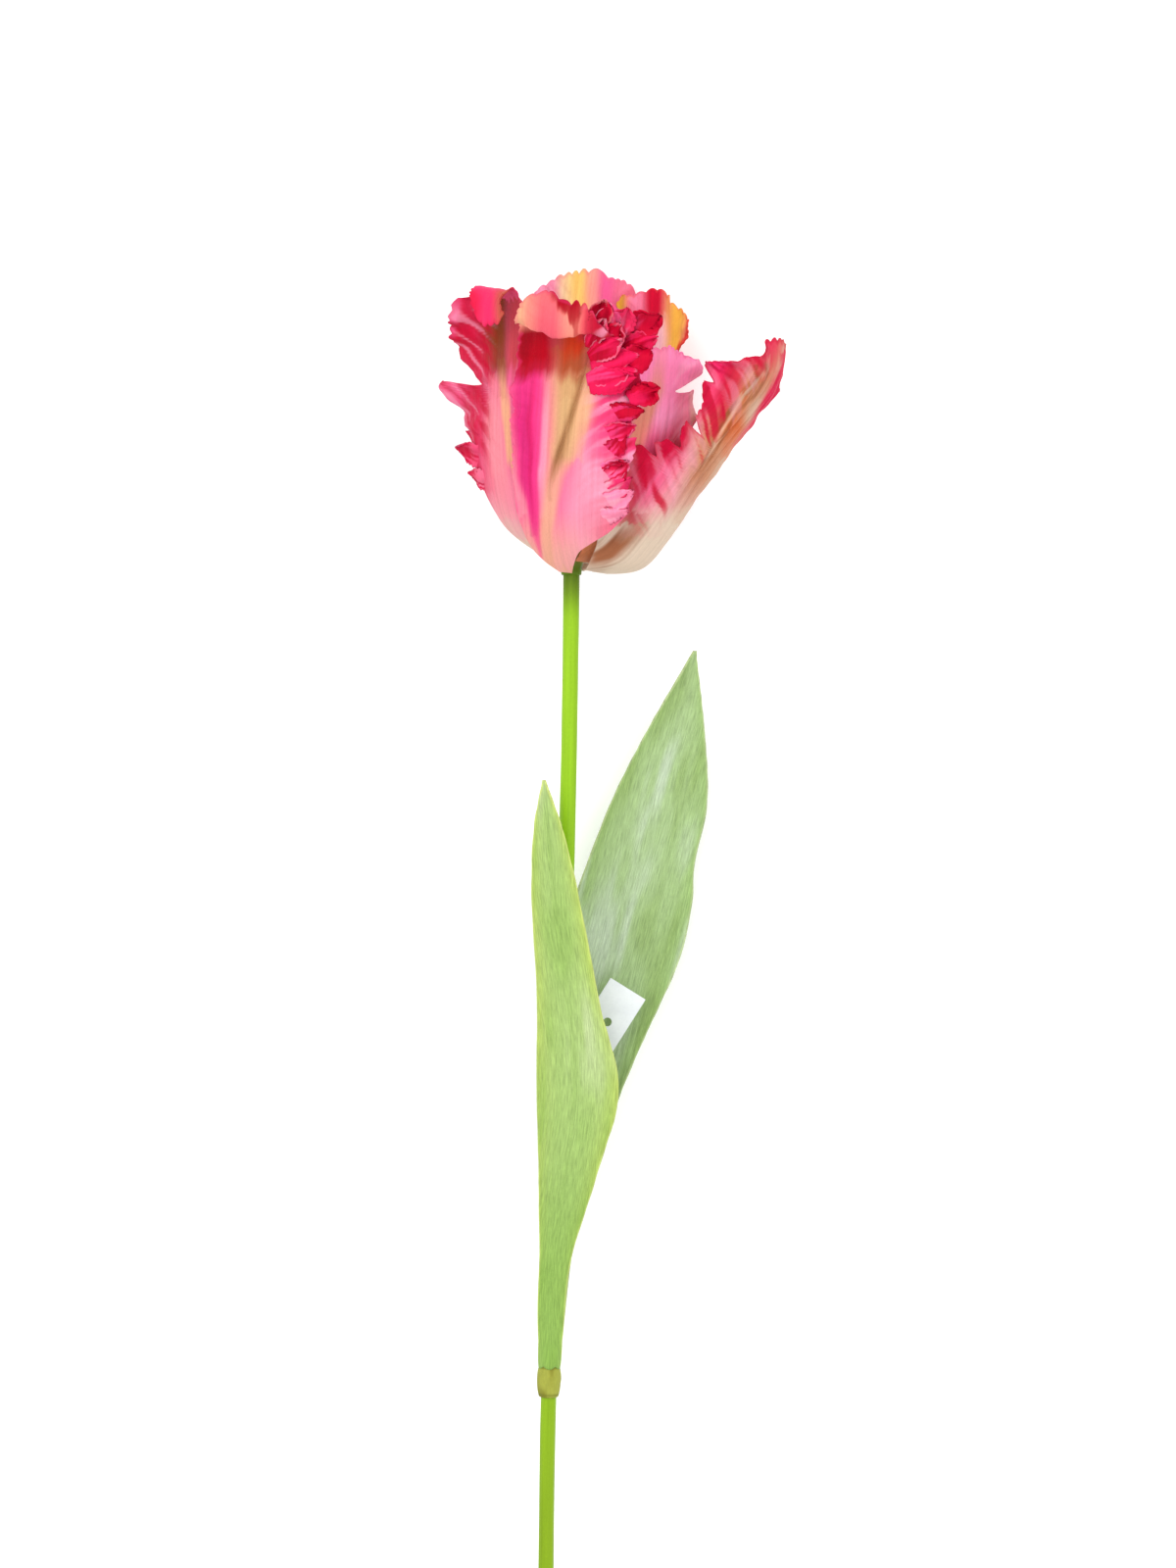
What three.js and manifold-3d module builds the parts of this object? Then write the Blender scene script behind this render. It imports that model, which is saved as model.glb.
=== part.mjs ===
// An artificial cut parrot tulip that lies on its side: flower at +Y, cut end of the stem at -Y.
// Millimetres, +Z up. The flower's axis is level, and the design frame starts where the axis
// meets the top of the stem. At the end the whole is moved so that its origin is the middle of
// the underside of its bounding box.
import * as THREE from "three";
import { mergeVertices } from "three/addons/utils/BufferGeometryUtils.js";
import Module from "manifold-3d";

const wasm = await Module();
wasm.setup();

// ---------------------------------------------------------------- driving dimensions

const CLEARANCE = 0.3; // gap that pieces keep where they meet

const CUP_RADIUS = 33; // flower's radius at the widest outer petal
const CUP_HEIGHT = 92; // flower's height above the stem
const PETAL_THICKNESS = 0.9;
const RING_GAP = 1.5; // air between the outer and the inner ring of petals
const HEAD_LEAN = 6; // degrees that the cup leans to the right of its stem

const STEM_LENGTH = 408; // below the flower
const STEM_RADIUS = 2.45;
const STEM_SWAY = 8.5; // sideways bend over the stem's length
const STEM_PLUG = 3; // length of stem inside the receptacle

const RECEPTACLE_WALL = 0.9;
const RECEPTACLE_DOME = 5.5; // height of the boss above the stem's end
const PISTIL_HEIGHT = 24;
const PISTIL_RADIUS = 2.4;
const STAMEN_COUNT = 6;
const FILAMENT_LENGTH = 11;
const FILAMENT_RADIUS = 0.6;
const ANTHER_LENGTH = 13;
const ANTHER_RADIUS = 1.5;
const STAMEN_LEAN = 14; // degrees outward

const COLLAR_DISTANCE = 245.5; // from the flower down to the collar's top
const COLLAR_LENGTH = 10;
const COLLAR_BULGE = 0.5; // how far the collar's middle stands out from its ends
const COLLAR_WALL = 0.45;

const LEAF_THICKNESS = 0.9;
const SHEATH_THICKNESS = 0.5; // leaf's thickness where it wraps the stem
const FRONT_LEAF_LENGTH = 182;
const FRONT_LEAF_WIDTH = 28;
const BACK_LEAF_LENGTH = 221;
const BACK_LEAF_WIDTH = 39;

const TAG_DISTANCE = 128; // from the flower down to the tag's middle
const TAG_HEIGHT = 20.5;
const TAG_STRAP = 6; // height of the loop that goes round the stem
const TAG_REACH = 21.5; // from the stem's side to the tag's free end
const TAG_THICKNESS = 0.6; // two plies of card stuck together
const TAG_PLY = 0.3;
const TAG_HOLE_RADIUS = 1.4;
const TAG_HOLE_INSET = 6.4; // from the free end to the hole
const TAG_TURN = -31; // degrees that the tag hangs askew on the stem
const TAG_DROOP = -9; // degrees that its free end hangs down

// ---------------------------------------------------------------- small helpers

const UP = new THREE.Vector3(0, 0, 1);
const rad = THREE.MathUtils.degToRad;

// Value on a smooth curve through hand-set stops [[position, value], ...], level past both ends.
function between(stops, at) {
  const last = stops.length - 1;
  if (at <= stops[0][0]) return stops[0][1];
  if (at >= stops[last][0]) return stops[last][1];
  const slope = (i) => {
    const [before, after] = [stops[Math.max(i - 1, 0)], stops[Math.min(i + 1, last)]];
    return (after[1] - before[1]) / (after[0] - before[0]);
  };
  const next = stops.findIndex(([position]) => position > at);
  const [low, high] = [stops[next - 1], stops[next]];
  const span = high[0] - low[0];
  const share = (at - low[0]) / span;
  const rest = 1 - share;
  return (
    low[1] * rest * rest * (1 + 2 * share) +
    high[1] * share * share * (3 - 2 * share) +
    slope(next - 1) * span * share * rest * rest -
    slope(next) * span * share * share * rest
  );
}

// Moves every vertex of a geometry to where place(x, y, z) says.
function reshape(geometry, place) {
  const position = geometry.attributes.position;
  for (let i = 0; i < position.count; i++) {
    const moved = place(position.getX(i), position.getY(i), position.getZ(i));
    position.setXYZ(i, moved.x, moved.y, moved.z);
  }
  geometry.computeVertexNormals();
  return geometry;
}

// Lays a thin box on a surface: surface(u, v) with u from -1 to 1 and v from 0 to 1.
function sheet(surface, across, along, thickness) {
  const step = 1e-3;
  const flat = new THREE.BoxGeometry(2, 1, 1, across, along, 1);
  return reshape(flat, (u, y, w) => {
    const v = y + 0.5;
    const alongV = surface(u, v + step).sub(surface(u, v - step));
    const acrossU = surface(u + step, v).sub(surface(u - step, v));
    const normal = acrossU.cross(alongV).normalize();
    return surface(u, v).addScaledVector(normal, w * thickness(v));
  });
}

// A curve through points that runs on straight past both ends.
function routeThrough(points) {
  const curve = new THREE.CatmullRomCurve3(points, false, "centripetal");
  curve.arcLengthDivisions = 400;
  const length = curve.getLength();
  return {
    curve,
    length,
    point(share) {
      const inside = THREE.MathUtils.clamp(share, 0, 1);
      const past = (share - inside) * length;
      return curve.getPointAt(inside).addScaledVector(curve.getTangentAt(inside), past);
    },
    tangent: (share) => curve.getTangentAt(THREE.MathUtils.clamp(share, 0, 1)),
  };
}

function solidOf(geometry) {
  const bare = geometry.clone().deleteAttribute("normal").deleteAttribute("uv");
  const merged = mergeVertices(bare, 1e-4);
  const vertProperties = merged.attributes.position.array;
  const triVerts = new Uint32Array(merged.index.array);
  return new wasm.Manifold(new wasm.Mesh({ numProp: 3, vertProperties, triVerts }));
}

function geometryOf(solid) {
  const { numProp, numVert, vertProperties, triVerts } = solid.getMesh();
  const points = new Float32Array(numVert * 3);
  for (let i = 0; i < numVert; i++) {
    points.set(vertProperties.subarray(i * numProp, i * numProp + 3), i * 3);
  }
  const geometry = new THREE.BufferGeometry();
  geometry.setAttribute("position", new THREE.BufferAttribute(points, 3));
  geometry.setIndex(new THREE.BufferAttribute(triVerts, 1));
  geometry.computeVertexNormals();
  return geometry;
}

function piece(name, geometry, color, roughness) {
  const material = new THREE.MeshStandardMaterial({ color, roughness, metalness: 0 });
  const mesh = new THREE.Mesh(geometry, material);
  mesh.name = name;
  return mesh;
}

// ---------------------------------------------------------------- petals

// A ring's cup, from claw to tip, as shares of the cup's radius and height. The inner ring stands
// inside the outer one by a petal's thickness and the air between them.
const CUP_PROFILE = [
  [0.19, 0.01],
  [0.4, 0.042],
  [0.66, 0.115],
  [0.85, 0.25],
  [0.955, 0.42],
  [1, 0.59],
  [1, 0.76],
  [0.97, 0.92],
  [0.94, 1],
];
const RING_STEP = PETAL_THICKNESS + RING_GAP;
const BOSS_RADIUS = STEM_RADIUS + CLEARANCE + RECEPTACLE_WALL + 0.8; // the receptacle at its widest
const CLAW_START = BOSS_RADIUS + CLEARANCE + PETAL_THICKNESS / 2; // no petal starts closer in

// The spine of a petal in its own upright plane, as points [distance from axis, height].
function cupSpine(inward, raise) {
  return CUP_PROFILE.map(([r, h], i) => {
    const steep = Math.min(1, i / 4); // near the claw the inner ring stands above, further up inside
    const radius = Math.max(r * CUP_RADIUS - inward * (0.25 + 0.75 * steep), CLAW_START);
    const height = h * CUP_HEIGHT * THREE.MathUtils.lerp(1, raise, h) + inward * (1 - steep);
    return [radius, height];
  });
}

// Every petal: where its midrib stands around the axis, its spine, its half-widths in millimetres
// at shares of its length, and its lobes as multiples of that width on each side. up is how far
// the margin runs ahead of the midrib, so that the lobes point up and out. flare moves a margin
// outward, and round is the radius that it is rolled to across (0 follows the cup).
const PETALS = {
  petal_front: {
    azimuth: 103,
    spine: [
      ...cupSpine(-1.4, 1).slice(0, 6),
      [1.06 * CUP_RADIUS, 0.7 * CUP_HEIGHT],
      [1.15 * CUP_RADIUS, 0.755 * CUP_HEIGHT],
      [1.29 * CUP_RADIUS, 0.78 * CUP_HEIGHT],
      [1.36 * CUP_RADIUS, 0.85 * CUP_HEIGHT],
      [1.3 * CUP_RADIUS, 0.94 * CUP_HEIGHT],
    ],
    left: [[0, 4.6], [0.1, 10], [0.25, 15], [0.5, 17], [0.75, 17], [0.9, 16], [1, 13]],
    right: [[0, 4.6], [0.1, 14], [0.2, 20], [0.45, 21], [0.7, 21], [0.9, 14], [1, 9]],
    leftLobes: [[0, 1], [0.5, 1], [0.62, 1.08], [0.7, 0.94], [0.85, 1.04], [1, 1]],
    rightLobes: [
      [0.1, 1], [0.24, 1.1], [0.32, 0.96], [0.44, 1.12], [0.52, 1], [0.66, 1.14], [0.76, 1], [1, 1],
    ],
    up: 6,
    tip: -5,
    flare: [0, 1.5],
    round: [0, 0],
  },
  petal_open: {
    azimuth: 22,
    spine: [
      [0.2 * CUP_RADIUS, 0.01 * CUP_HEIGHT],
      [0.42 * CUP_RADIUS, 0.01 * CUP_HEIGHT],
      [0.66 * CUP_RADIUS, 0.035 * CUP_HEIGHT],
      [0.85 * CUP_RADIUS, 0.12 * CUP_HEIGHT],
      [1.14 * CUP_RADIUS, 0.3 * CUP_HEIGHT],
      [1.49 * CUP_RADIUS, 0.5 * CUP_HEIGHT],
      [1.77 * CUP_RADIUS, 0.65 * CUP_HEIGHT],
      [1.83 * CUP_RADIUS, 0.74 * CUP_HEIGHT],
      [1.82 * CUP_RADIUS, 0.81 * CUP_HEIGHT],
    ],
    left: [[0, 4.2], [0.12, 11], [0.28, 22], [0.42, 26], [0.56, 23], [0.7, 23], [0.86, 19], [1, 8]],
    right: [[0, 4.4], [0.12, 11], [0.3, 19], [0.5, 23], [0.7, 21], [0.88, 16], [1, 7]],
    leftLobes: [[0, 1], [0.3, 1], [0.4, 1.1], [0.5, 0.9], [0.62, 1.08], [0.72, 0.94], [0.84, 1.12], [1, 1]],
    rightLobes: [[0, 1], [0.4, 1], [0.5, 1.1], [0.6, 0.94], [0.7, 1.1], [0.8, 0.94], [1, 1]],
    up: 4,
    tip: -2,
    flare: [0, 0],
    round: [25, 25],
    leans: true,
  },
  petal_under: {
    azimuth: 269,
    spine: cupSpine(0, 1),
    left: [[0, 4.6], [0.15, 14], [0.35, 24], [0.6, 28], [0.85, 24], [1, 17]],
    right: [[0, 4.6], [0.15, 14], [0.35, 24], [0.6, 28], [0.85, 24], [1, 17]],
    leftLobes: [[0, 1], [0.4, 1], [0.52, 1.08], [0.6, 0.92], [0.74, 1.1], [0.82, 0.94], [1, 1]],
    rightLobes: [[0, 1], [0.4, 1], [0.5, 1.08], [0.62, 0.94], [0.72, 1.08], [0.84, 0.95], [1, 1]],
    up: 6,
    tip: -6,
    flare: [4.5, 4.5],
    round: [110, 110],
  },
  petal_left: {
    azimuth: 138,
    spine: [
      ...cupSpine(RING_STEP, 1).slice(0, 7),
      [1.02 * CUP_RADIUS, 0.83 * CUP_HEIGHT],
      [1.14 * CUP_RADIUS, 0.88 * CUP_HEIGHT],
      [1.16 * CUP_RADIUS, 0.93 * CUP_HEIGHT],
    ],
    left: [[0, 3], [0.12, 12], [0.3, 22], [0.5, 28], [0.75, 24], [0.9, 14], [1, 7]],
    right: [[0, 3], [0.12, 9], [0.3, 16], [0.5, 18], [0.75, 17], [0.9, 13], [1, 8]],
    leftLobes: [
      [0, 1], [0.3, 1], [0.38, 1.16], [0.44, 0.94], [0.54, 1.42], [0.64, 0.74], [0.76, 1.16],
      [0.9, 1], [1, 1],
    ],
    rightLobes: [[0, 1], [1, 1]],
    up: 10,
    tip: -3,
    flare: [10, 0],
    round: [60, 0],
  },
  petal_right: {
    azimuth: 50,
    spine: cupSpine(RING_STEP, 0.88),
    left: [[0, 3], [0.12, 9], [0.3, 15], [0.55, 18], [0.8, 17], [1, 12]],
    right: [[0, 3], [0.12, 9], [0.3, 17], [0.5, 21], [0.8, 20], [1, 12]],
    leftLobes: [[0, 1], [0.5, 1], [0.7, 1.1], [0.8, 0.9], [1, 1]],
    rightLobes: [[0, 1], [0.44, 1], [0.54, 1.06], [0.64, 0.86], [0.84, 1.2], [0.96, 0.9], [1, 0.9]],
    up: 9,
    tip: -4,
    flare: [0, 3],
    round: [0, 0],
  },
  petal_back: {
    azimuth: 312,
    spine: cupSpine(RING_STEP, 0.95),
    left: [[0, 3], [0.15, 12], [0.35, 20], [0.6, 23], [0.85, 21], [1, 15]],
    right: [[0, 3], [0.15, 12], [0.35, 20], [0.6, 23], [0.85, 21], [1, 15]],
    leftLobes: [[0, 1], [0.5, 1], [0.6, 1.06], [0.7, 0.92], [0.82, 1.08], [1, 1]],
    rightLobes: [[0, 1], [0.5, 1], [0.58, 1.08], [0.68, 0.9], [0.8, 1.1], [0.9, 0.94], [1, 1]],
    up: 7,
    tip: -5,
    flare: [0, 0],
    round: [0, 0],
  },
};
const DRAWN_RADIUS = 33; // the cup radius that the half-widths and rolls above are drawn for
const BREADTH = CUP_RADIUS / DRAWN_RADIUS;
const PETAL_ACROSS = 12;
const PETAL_ALONG = 20;

// left is the side of the greater angle around the axis, as seen from outside with the tip up.
function petalSurface(petal) {
  const azimuth = rad(petal.azimuth);
  const radial = new THREE.Vector3(Math.cos(azimuth), 0, Math.sin(azimuth));
  const sideways = new THREE.Vector3(Math.sin(azimuth), 0, -Math.cos(azimuth));
  const points = petal.spine.map(([r, h]) => radial.clone().multiplyScalar(r).setY(h));
  const route = routeThrough(points);
  return (u, v) => {
    const side = u < 0 ? "left" : "right";
    const round = petal.round[u < 0 ? 0 : 1] * BREADTH;
    const flare = petal.flare[u < 0 ? 0 : 1];
    const reach = Math.abs(u);
    const grown = reach * (1 + (between(petal[`${side}Lobes`], v) - 1) * reach * reach);
    const out = Math.sign(u) * grown * between(petal[side], v) * BREADTH;
    const ahead = THREE.MathUtils.lerp(petal.up, petal.tip, v * v * v) * Math.min(1, 3 * v);
    const share = v + (ahead * grown * grown) / route.length;
    const spine = route.point(share);
    // A petal with a roll of its own leaves the cup's gently.
    const own = round ? THREE.MathUtils.smoothstep(v, 0, 0.5) : 0;
    const roll = THREE.MathUtils.lerp(Math.hypot(spine.x, spine.z), round, own);
    const square = new THREE.Vector3().crossVectors(route.tangent(share), sideways);
    if (square.dot(radial) < 0) square.negate();
    const outward = radial.clone().lerp(square, petal.leans ? own : 0).normalize();
    const angle = out / roll;
    const edgewise = outward.clone().multiplyScalar(Math.cos(angle));
    edgewise.addScaledVector(sideways, Math.sin(angle));
    return spine
      .addScaledVector(sideways, roll * Math.sin(angle))
      .addScaledVector(outward, -roll * (1 - Math.cos(angle)))
      .addScaledVector(edgewise, flare * grown ** 3 * v * v)
      .applyAxisAngle(UP, -rad(HEAD_LEAN));
  };
}

function makePetals() {
  return Object.entries(PETALS).map(([name, petal]) => {
    const geometry = sheet(petalSurface(petal), PETAL_ACROSS, PETAL_ALONG, () => PETAL_THICKNESS);
    return piece(name, geometry, 0xe8487f, 0.6);
  });
}

// ---------------------------------------------------------------- stem and flower centre

const petals = makePetals();

// The flower lies on its lowest petal and the stem comes down to the same surface at its cut end.
const restLevel = Math.min(
  ...petals.map((petal) => {
    petal.geometry.computeBoundingBox();
    return petal.geometry.boundingBox.min.z;
  }),
);
const stemDrop = restLevel + STEM_RADIUS;

// How far the stem has bent aside and come down at shares of its length.
const STEM_COURSE = [
  [-STEM_PLUG / STEM_LENGTH, 0, 0],
  [0, 0, 0],
  [0.09, 0.05, 0.04],
  [0.2, 0.16, 0.16],
  [0.35, 0.36, 0.34],
  [0.61, 0.82, 0.62],
  [0.76, 0.94, 0.77],
  [1, 1, 1],
];
const stemRoute = routeThrough(
  STEM_COURSE.map(
    ([share, aside, down]) =>
      new THREE.Vector3(-STEM_SWAY * aside, -STEM_LENGTH * share, stemDrop * down),
  ),
);
const stemShare = (below) => (below + STEM_PLUG) / stemRoute.length;
const stemPoint = (below) => stemRoute.point(stemShare(below));

// Sideways, along (towards the flower) and upright directions of the stem at a distance below it.
function stemAxes(below) {
  const along = stemRoute.tangent(stemShare(below)).negate();
  const side = new THREE.Vector3().crossVectors(along, UP).normalize();
  const upright = new THREE.Vector3().crossVectors(side, along);
  return { side, along, upright };
}

function makeStem() {
  const section = new THREE.Shape().absarc(0, 0, STEM_RADIUS, 0, 2 * Math.PI);
  const rod = new THREE.ExtrudeGeometry(section, {
    steps: 40,
    curveSegments: 7,
    extrudePath: stemRoute.curve,
  });
  return piece("stem", rod, 0x9fca31, 0.45);
}

// The boss: a sleeve over the stem's end that opens into a small dome above it.
function makeReceptacle() {
  const bore = STEM_RADIUS + CLEARANCE;
  const outer = bore + RECEPTACLE_WALL;
  const seat = STEM_PLUG + CLEARANCE;
  const top = STEM_PLUG + RECEPTACLE_DOME;
  const profile = [
    [0, seat],
    [bore, seat],
    [bore, -1],
    [outer, -1],
    [outer, 2.4],
    [BOSS_RADIUS, 4.4],
    [BOSS_RADIUS, top - 1.2],
    [outer, top - 0.4],
    [0, top],
  ];
  const lathe = new THREE.LatheGeometry(profile.map(([r, h]) => new THREE.Vector2(r, h)), 18);
  return piece("receptacle", lathe, 0xa9bf5a, 0.5);
}

// Three-sided ovary that narrows to a neck and opens into a three-lobed stigma.
function makePistil() {
  const base = STEM_PLUG + RECEPTACLE_DOME + CLEARANCE;
  const outline = [
    [0, 0],
    [0.95, 0],
    [1.05, 0.2],
    [1, 0.55],
    [0.78, 0.78],
    [0.9, 0.86],
    [1.55, 0.93],
    [1.35, 1],
    [0, 0.97],
  ];
  const profile = outline.map(
    ([r, h]) => new THREE.Vector2(r * PISTIL_RADIUS, base + h * PISTIL_HEIGHT),
  );
  const lathe = new THREE.LatheGeometry(profile, 24);
  reshape(lathe, (x, y, z) => {
    const lobed = 0.86 + 0.14 * Math.cos(3 * Math.atan2(z, x));
    return new THREE.Vector3(x * lobed, y, z * lobed);
  });
  return piece("pistil", lathe, 0xc3cf7a, 0.5);
}

function makeStamens() {
  const foot = STEM_PLUG + RECEPTACLE_DOME + CLEARANCE;
  const ring = PISTIL_RADIUS + 2.5 * FILAMENT_RADIUS;
  const neck = FILAMENT_LENGTH;
  const profile = [
    [0, 0],
    [1.3 * FILAMENT_RADIUS, 0],
    [FILAMENT_RADIUS, neck],
    [0.8 * ANTHER_RADIUS, neck + 0.6],
    [ANTHER_RADIUS, neck + 0.3 * ANTHER_LENGTH],
    [0.9 * ANTHER_RADIUS, neck + 0.75 * ANTHER_LENGTH],
    [0.5 * ANTHER_RADIUS, neck + ANTHER_LENGTH],
    [0, neck + ANTHER_LENGTH],
  ].map(([r, h]) => new THREE.Vector2(r, h));
  return Array.from({ length: STAMEN_COUNT }, (_, i) => {
    const stamen = piece(`stamen_${i + 1}`, new THREE.LatheGeometry(profile, 10), 0x4a2a3a, 0.7);
    const leaning = new THREE.Group();
    stamen.rotation.z = -rad(STAMEN_LEAN);
    stamen.position.set(ring, foot + CLEARANCE, 0);
    leaning.rotation.y = rad(30 + (360 / STAMEN_COUNT) * i);
    leaning.add(stamen);
    return leaning;
  });
}

// ---------------------------------------------------------------- collar and leaves

// Moves a piece made about the Y axis onto the stem, its foot at a distance below the flower.
function onStem(object, below) {
  const { side, along, upright } = stemAxes(below);
  const turned = new THREE.Matrix4().makeBasis(side, along, upright);
  object.quaternion.setFromRotationMatrix(turned);
  object.position.copy(stemPoint(below));
  return object;
}

function makeCollar() {
  const foot = COLLAR_DISTANCE + COLLAR_LENGTH;
  const bore = STEM_RADIUS + CLEARANCE;
  const rim = bore + COLLAR_WALL;
  const ring = [[bore, 0]];
  const steps = 8;
  for (let i = 0; i <= steps; i++) {
    const share = i / steps;
    const bulge = COLLAR_BULGE * Math.sin(Math.PI * share ** 0.85);
    ring.push([rim + bulge, share * COLLAR_LENGTH]);
  }
  ring.push([bore, COLLAR_LENGTH], [bore, 0]);
  const lathe = new THREE.LatheGeometry(ring.map(([r, h]) => new THREE.Vector2(r, h)), 18);
  return onStem(piece("leaf_collar", lathe, 0xafb353, 0.6), foot);
}

// Each leaf: which side of the stem it wraps (1 above, -1 below), its course as stops
// [share of length, aside, height over the wrapped stem], half-widths left and right as shares of
// its width, the radius it is rolled to across, and how far it is turned about its length.
const LEAVES = {
  leaf_front: {
    wraps: 1,
    length: FRONT_LEAF_LENGTH,
    width: FRONT_LEAF_WIDTH,
    aside: [[0, 0], [0.15, 0.3], [0.35, 3.4], [0.48, 4.8], [0.62, 2.2], [0.8, -3.2], [1, -7.4]],
    height: [[0, 0], [0.12, 0.6], [0.4, 6.8], [0.7, 8], [1, 6.5]],
    left: [
      [0.04, 0], [0.18, 0.17], [0.35, 0.38], [0.48, 0.5], [0.62, 0.41], [0.8, 0.28], [0.92, 0.16],
      [1, 0.015],
    ],
    right: [
      [0.04, 0], [0.18, 0.16], [0.35, 0.36], [0.48, 0.52], [0.62, 0.41], [0.8, 0.28], [0.92, 0.16],
      [1, 0.015],
    ],
    roll: [[0, 0], [0.3, 11], [0.5, 19], [0.8, 13], [1, 9]],
    turn: [[0, 0], [0.3, -10], [0.6, -14], [1, -8]],
  },
  leaf_back: {
    wraps: -1,
    length: BACK_LEAF_LENGTH,
    width: BACK_LEAF_WIDTH,
    aside: [[0, 0], [0.15, 1.4], [0.3, 4.6], [0.45, 11], [0.6, 18.5], [0.8, 28.2], [1, 38.4]],
    height: [[0, 0], [0.2, -1.5], [0.4, -7], [0.6, -14.5], [0.8, -19], [1, -19.5]],
    left: [[0.04, 0], [0.2, 0.15], [0.4, 0.34], [0.6, 0.5], [0.75, 0.42], [0.88, 0.23], [1, 0.012]],
    right: [[0.04, 0], [0.2, 0.13], [0.4, 0.31], [0.6, 0.5], [0.75, 0.42], [0.88, 0.24], [1, 0.012]],
    roll: [[0, 0], [0.25, 14], [0.5, 34], [0.8, 30], [1, 20]],
    turn: [[0, 0], [0.5, 4], [1, 8]],
  },
};
const SHEATH_HALF_TURN = { leaf_front: 84, leaf_back: 74 }; // degrees that a leaf's foot wraps
const LEAF_ACROSS = 8;
const LEAF_ALONG = 34;

const leafThickness = (v) => between([[0, SHEATH_THICKNESS], [0.25, LEAF_THICKNESS]], v);

function leafSurface(name) {
  const leaf = LEAVES[name];
  const foot = COLLAR_DISTANCE - CLEARANCE;
  const wrap = STEM_RADIUS + CLEARANCE + SHEATH_THICKNESS / 2;
  const halfWrap = wrap * rad(SHEATH_HALF_TURN[name]);
  return (u, v) => {
    const below = foot - v * leaf.length;
    const { side, upright } = stemAxes(below);
    const tilt = rad(between(leaf.turn, v));
    const across = side.clone().applyAxisAngle(stemAxes(below).along, tilt);
    const facing = upright.clone().applyAxisAngle(stemAxes(below).along, tilt);
    const free = between(u < 0 ? leaf.left : leaf.right, v) * leaf.width;
    const sheath = halfWrap * (1 - THREE.MathUtils.smoothstep(v, 0, 0.22));
    const out = u * (sheath + free);
    const roll = wrap + between(leaf.roll, v);
    const angle = out / roll;
    return stemPoint(below)
      .addScaledVector(side, between(leaf.aside, v))
      .addScaledVector(upright, leaf.wraps * wrap + between(leaf.height, v))
      .addScaledVector(across, roll * Math.sin(angle))
      .addScaledVector(facing, -leaf.wraps * roll * (1 - Math.cos(angle)));
  };
}

function makeLeaves() {
  return Object.keys(LEAVES).map((name) => {
    const geometry = sheet(leafSurface(name), LEAF_ACROSS, LEAF_ALONG, leafThickness);
    return piece(name, geometry, 0xb3ca87, 0.65);
  });
}

// ---------------------------------------------------------------- tag

// Card folded round the stem and stuck to itself: a long loop that ends in a flat flag.
function makeTag() {
  const lean = Math.abs(rad(TAG_TURN));
  const halfOpening = STEM_RADIUS + CLEARANCE;
  const halfSpan = (TAG_STRAP / 2) * Math.tan(lean) + halfOpening / Math.cos(lean);
  const halfCard = TAG_THICKNESS / 2;
  const loop = (grow) => {
    const high = halfOpening + grow;
    const points = [];
    const turns = 8;
    for (let i = 0; i <= turns; i++) {
      const angle = Math.PI / 2 + (Math.PI * i) / turns;
      points.push([-halfSpan + high * Math.cos(angle), high * Math.sin(angle)]);
    }
    return points;
  };
  const neck = halfSpan + 2.2 * halfOpening; // where the two plies meet
  const end = STEM_RADIUS + TAG_REACH;
  const outline = [
    [halfSpan, halfOpening + TAG_PLY],
    ...loop(TAG_PLY),
    [halfSpan, -halfOpening - TAG_PLY],
    [neck, -halfCard],
    [end, -halfCard],
    [end, halfCard],
    [neck, halfCard],
  ];
  const opening = [
    [halfSpan, halfOpening],
    ...loop(0),
    [halfSpan, -halfOpening],
    [neck - TAG_THICKNESS, 0],
  ];
  const asPoints = (list) => list.map(([x, y]) => new THREE.Vector2(x, y));
  const shape = new THREE.Shape(asPoints(outline));
  shape.holes.push(new THREE.Path(asPoints(opening)));
  const card = new THREE.ExtrudeGeometry(shape, { depth: TAG_HEIGHT, bevelEnabled: false });
  card.translate(0, 0, -TAG_HEIGHT / 2);
  const punch = new THREE.CylinderGeometry(TAG_HOLE_RADIUS, TAG_HOLE_RADIUS, 4, 20);
  punch.translate(end - TAG_HOLE_INSET, 0, -0.09 * TAG_HEIGHT);
  const spare = (TAG_HEIGHT - TAG_STRAP) / 2;
  const trimmed = [-1, 1].map((side) => {
    const block = new THREE.BoxGeometry(2 * neck + 20, 20, spare + 2);
    block.translate(-10, 0, side * (TAG_STRAP / 2 + spare / 2 + 1));
    return solidOf(block);
  });
  const cut = [solidOf(punch), ...trimmed];
  const punched = geometryOf(cut.reduce((left, tool) => left.subtract(tool), solidOf(card)));
  punched.rotateX(-Math.PI / 2); // the card's height now runs along Y, its thickness along Z
  punched.rotateZ(rad(TAG_TURN));
  const tag = piece("price_tag", punched, 0xe6ebec, 0.7);
  const hung = new THREE.Group();
  tag.rotation.y = -rad(TAG_DROOP);
  hung.add(tag);
  return onStem(hung, TAG_DISTANCE);
}

// ---------------------------------------------------------------- the whole flower

const tulip = new THREE.Group();
tulip.add(makeStem(), makeReceptacle(), makePistil(), ...makeStamens());
tulip.add(makeCollar(), ...makeLeaves(), makeTag(), ...petals);

// The origin is the middle of the underside.
tulip.updateMatrixWorld(true);
const box = new THREE.Box3().setFromObject(tulip, true);
tulip.position.set(-(box.min.x + box.max.x) / 2, -(box.min.y + box.max.y) / 2, -box.min.z);

export default tulip;
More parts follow.
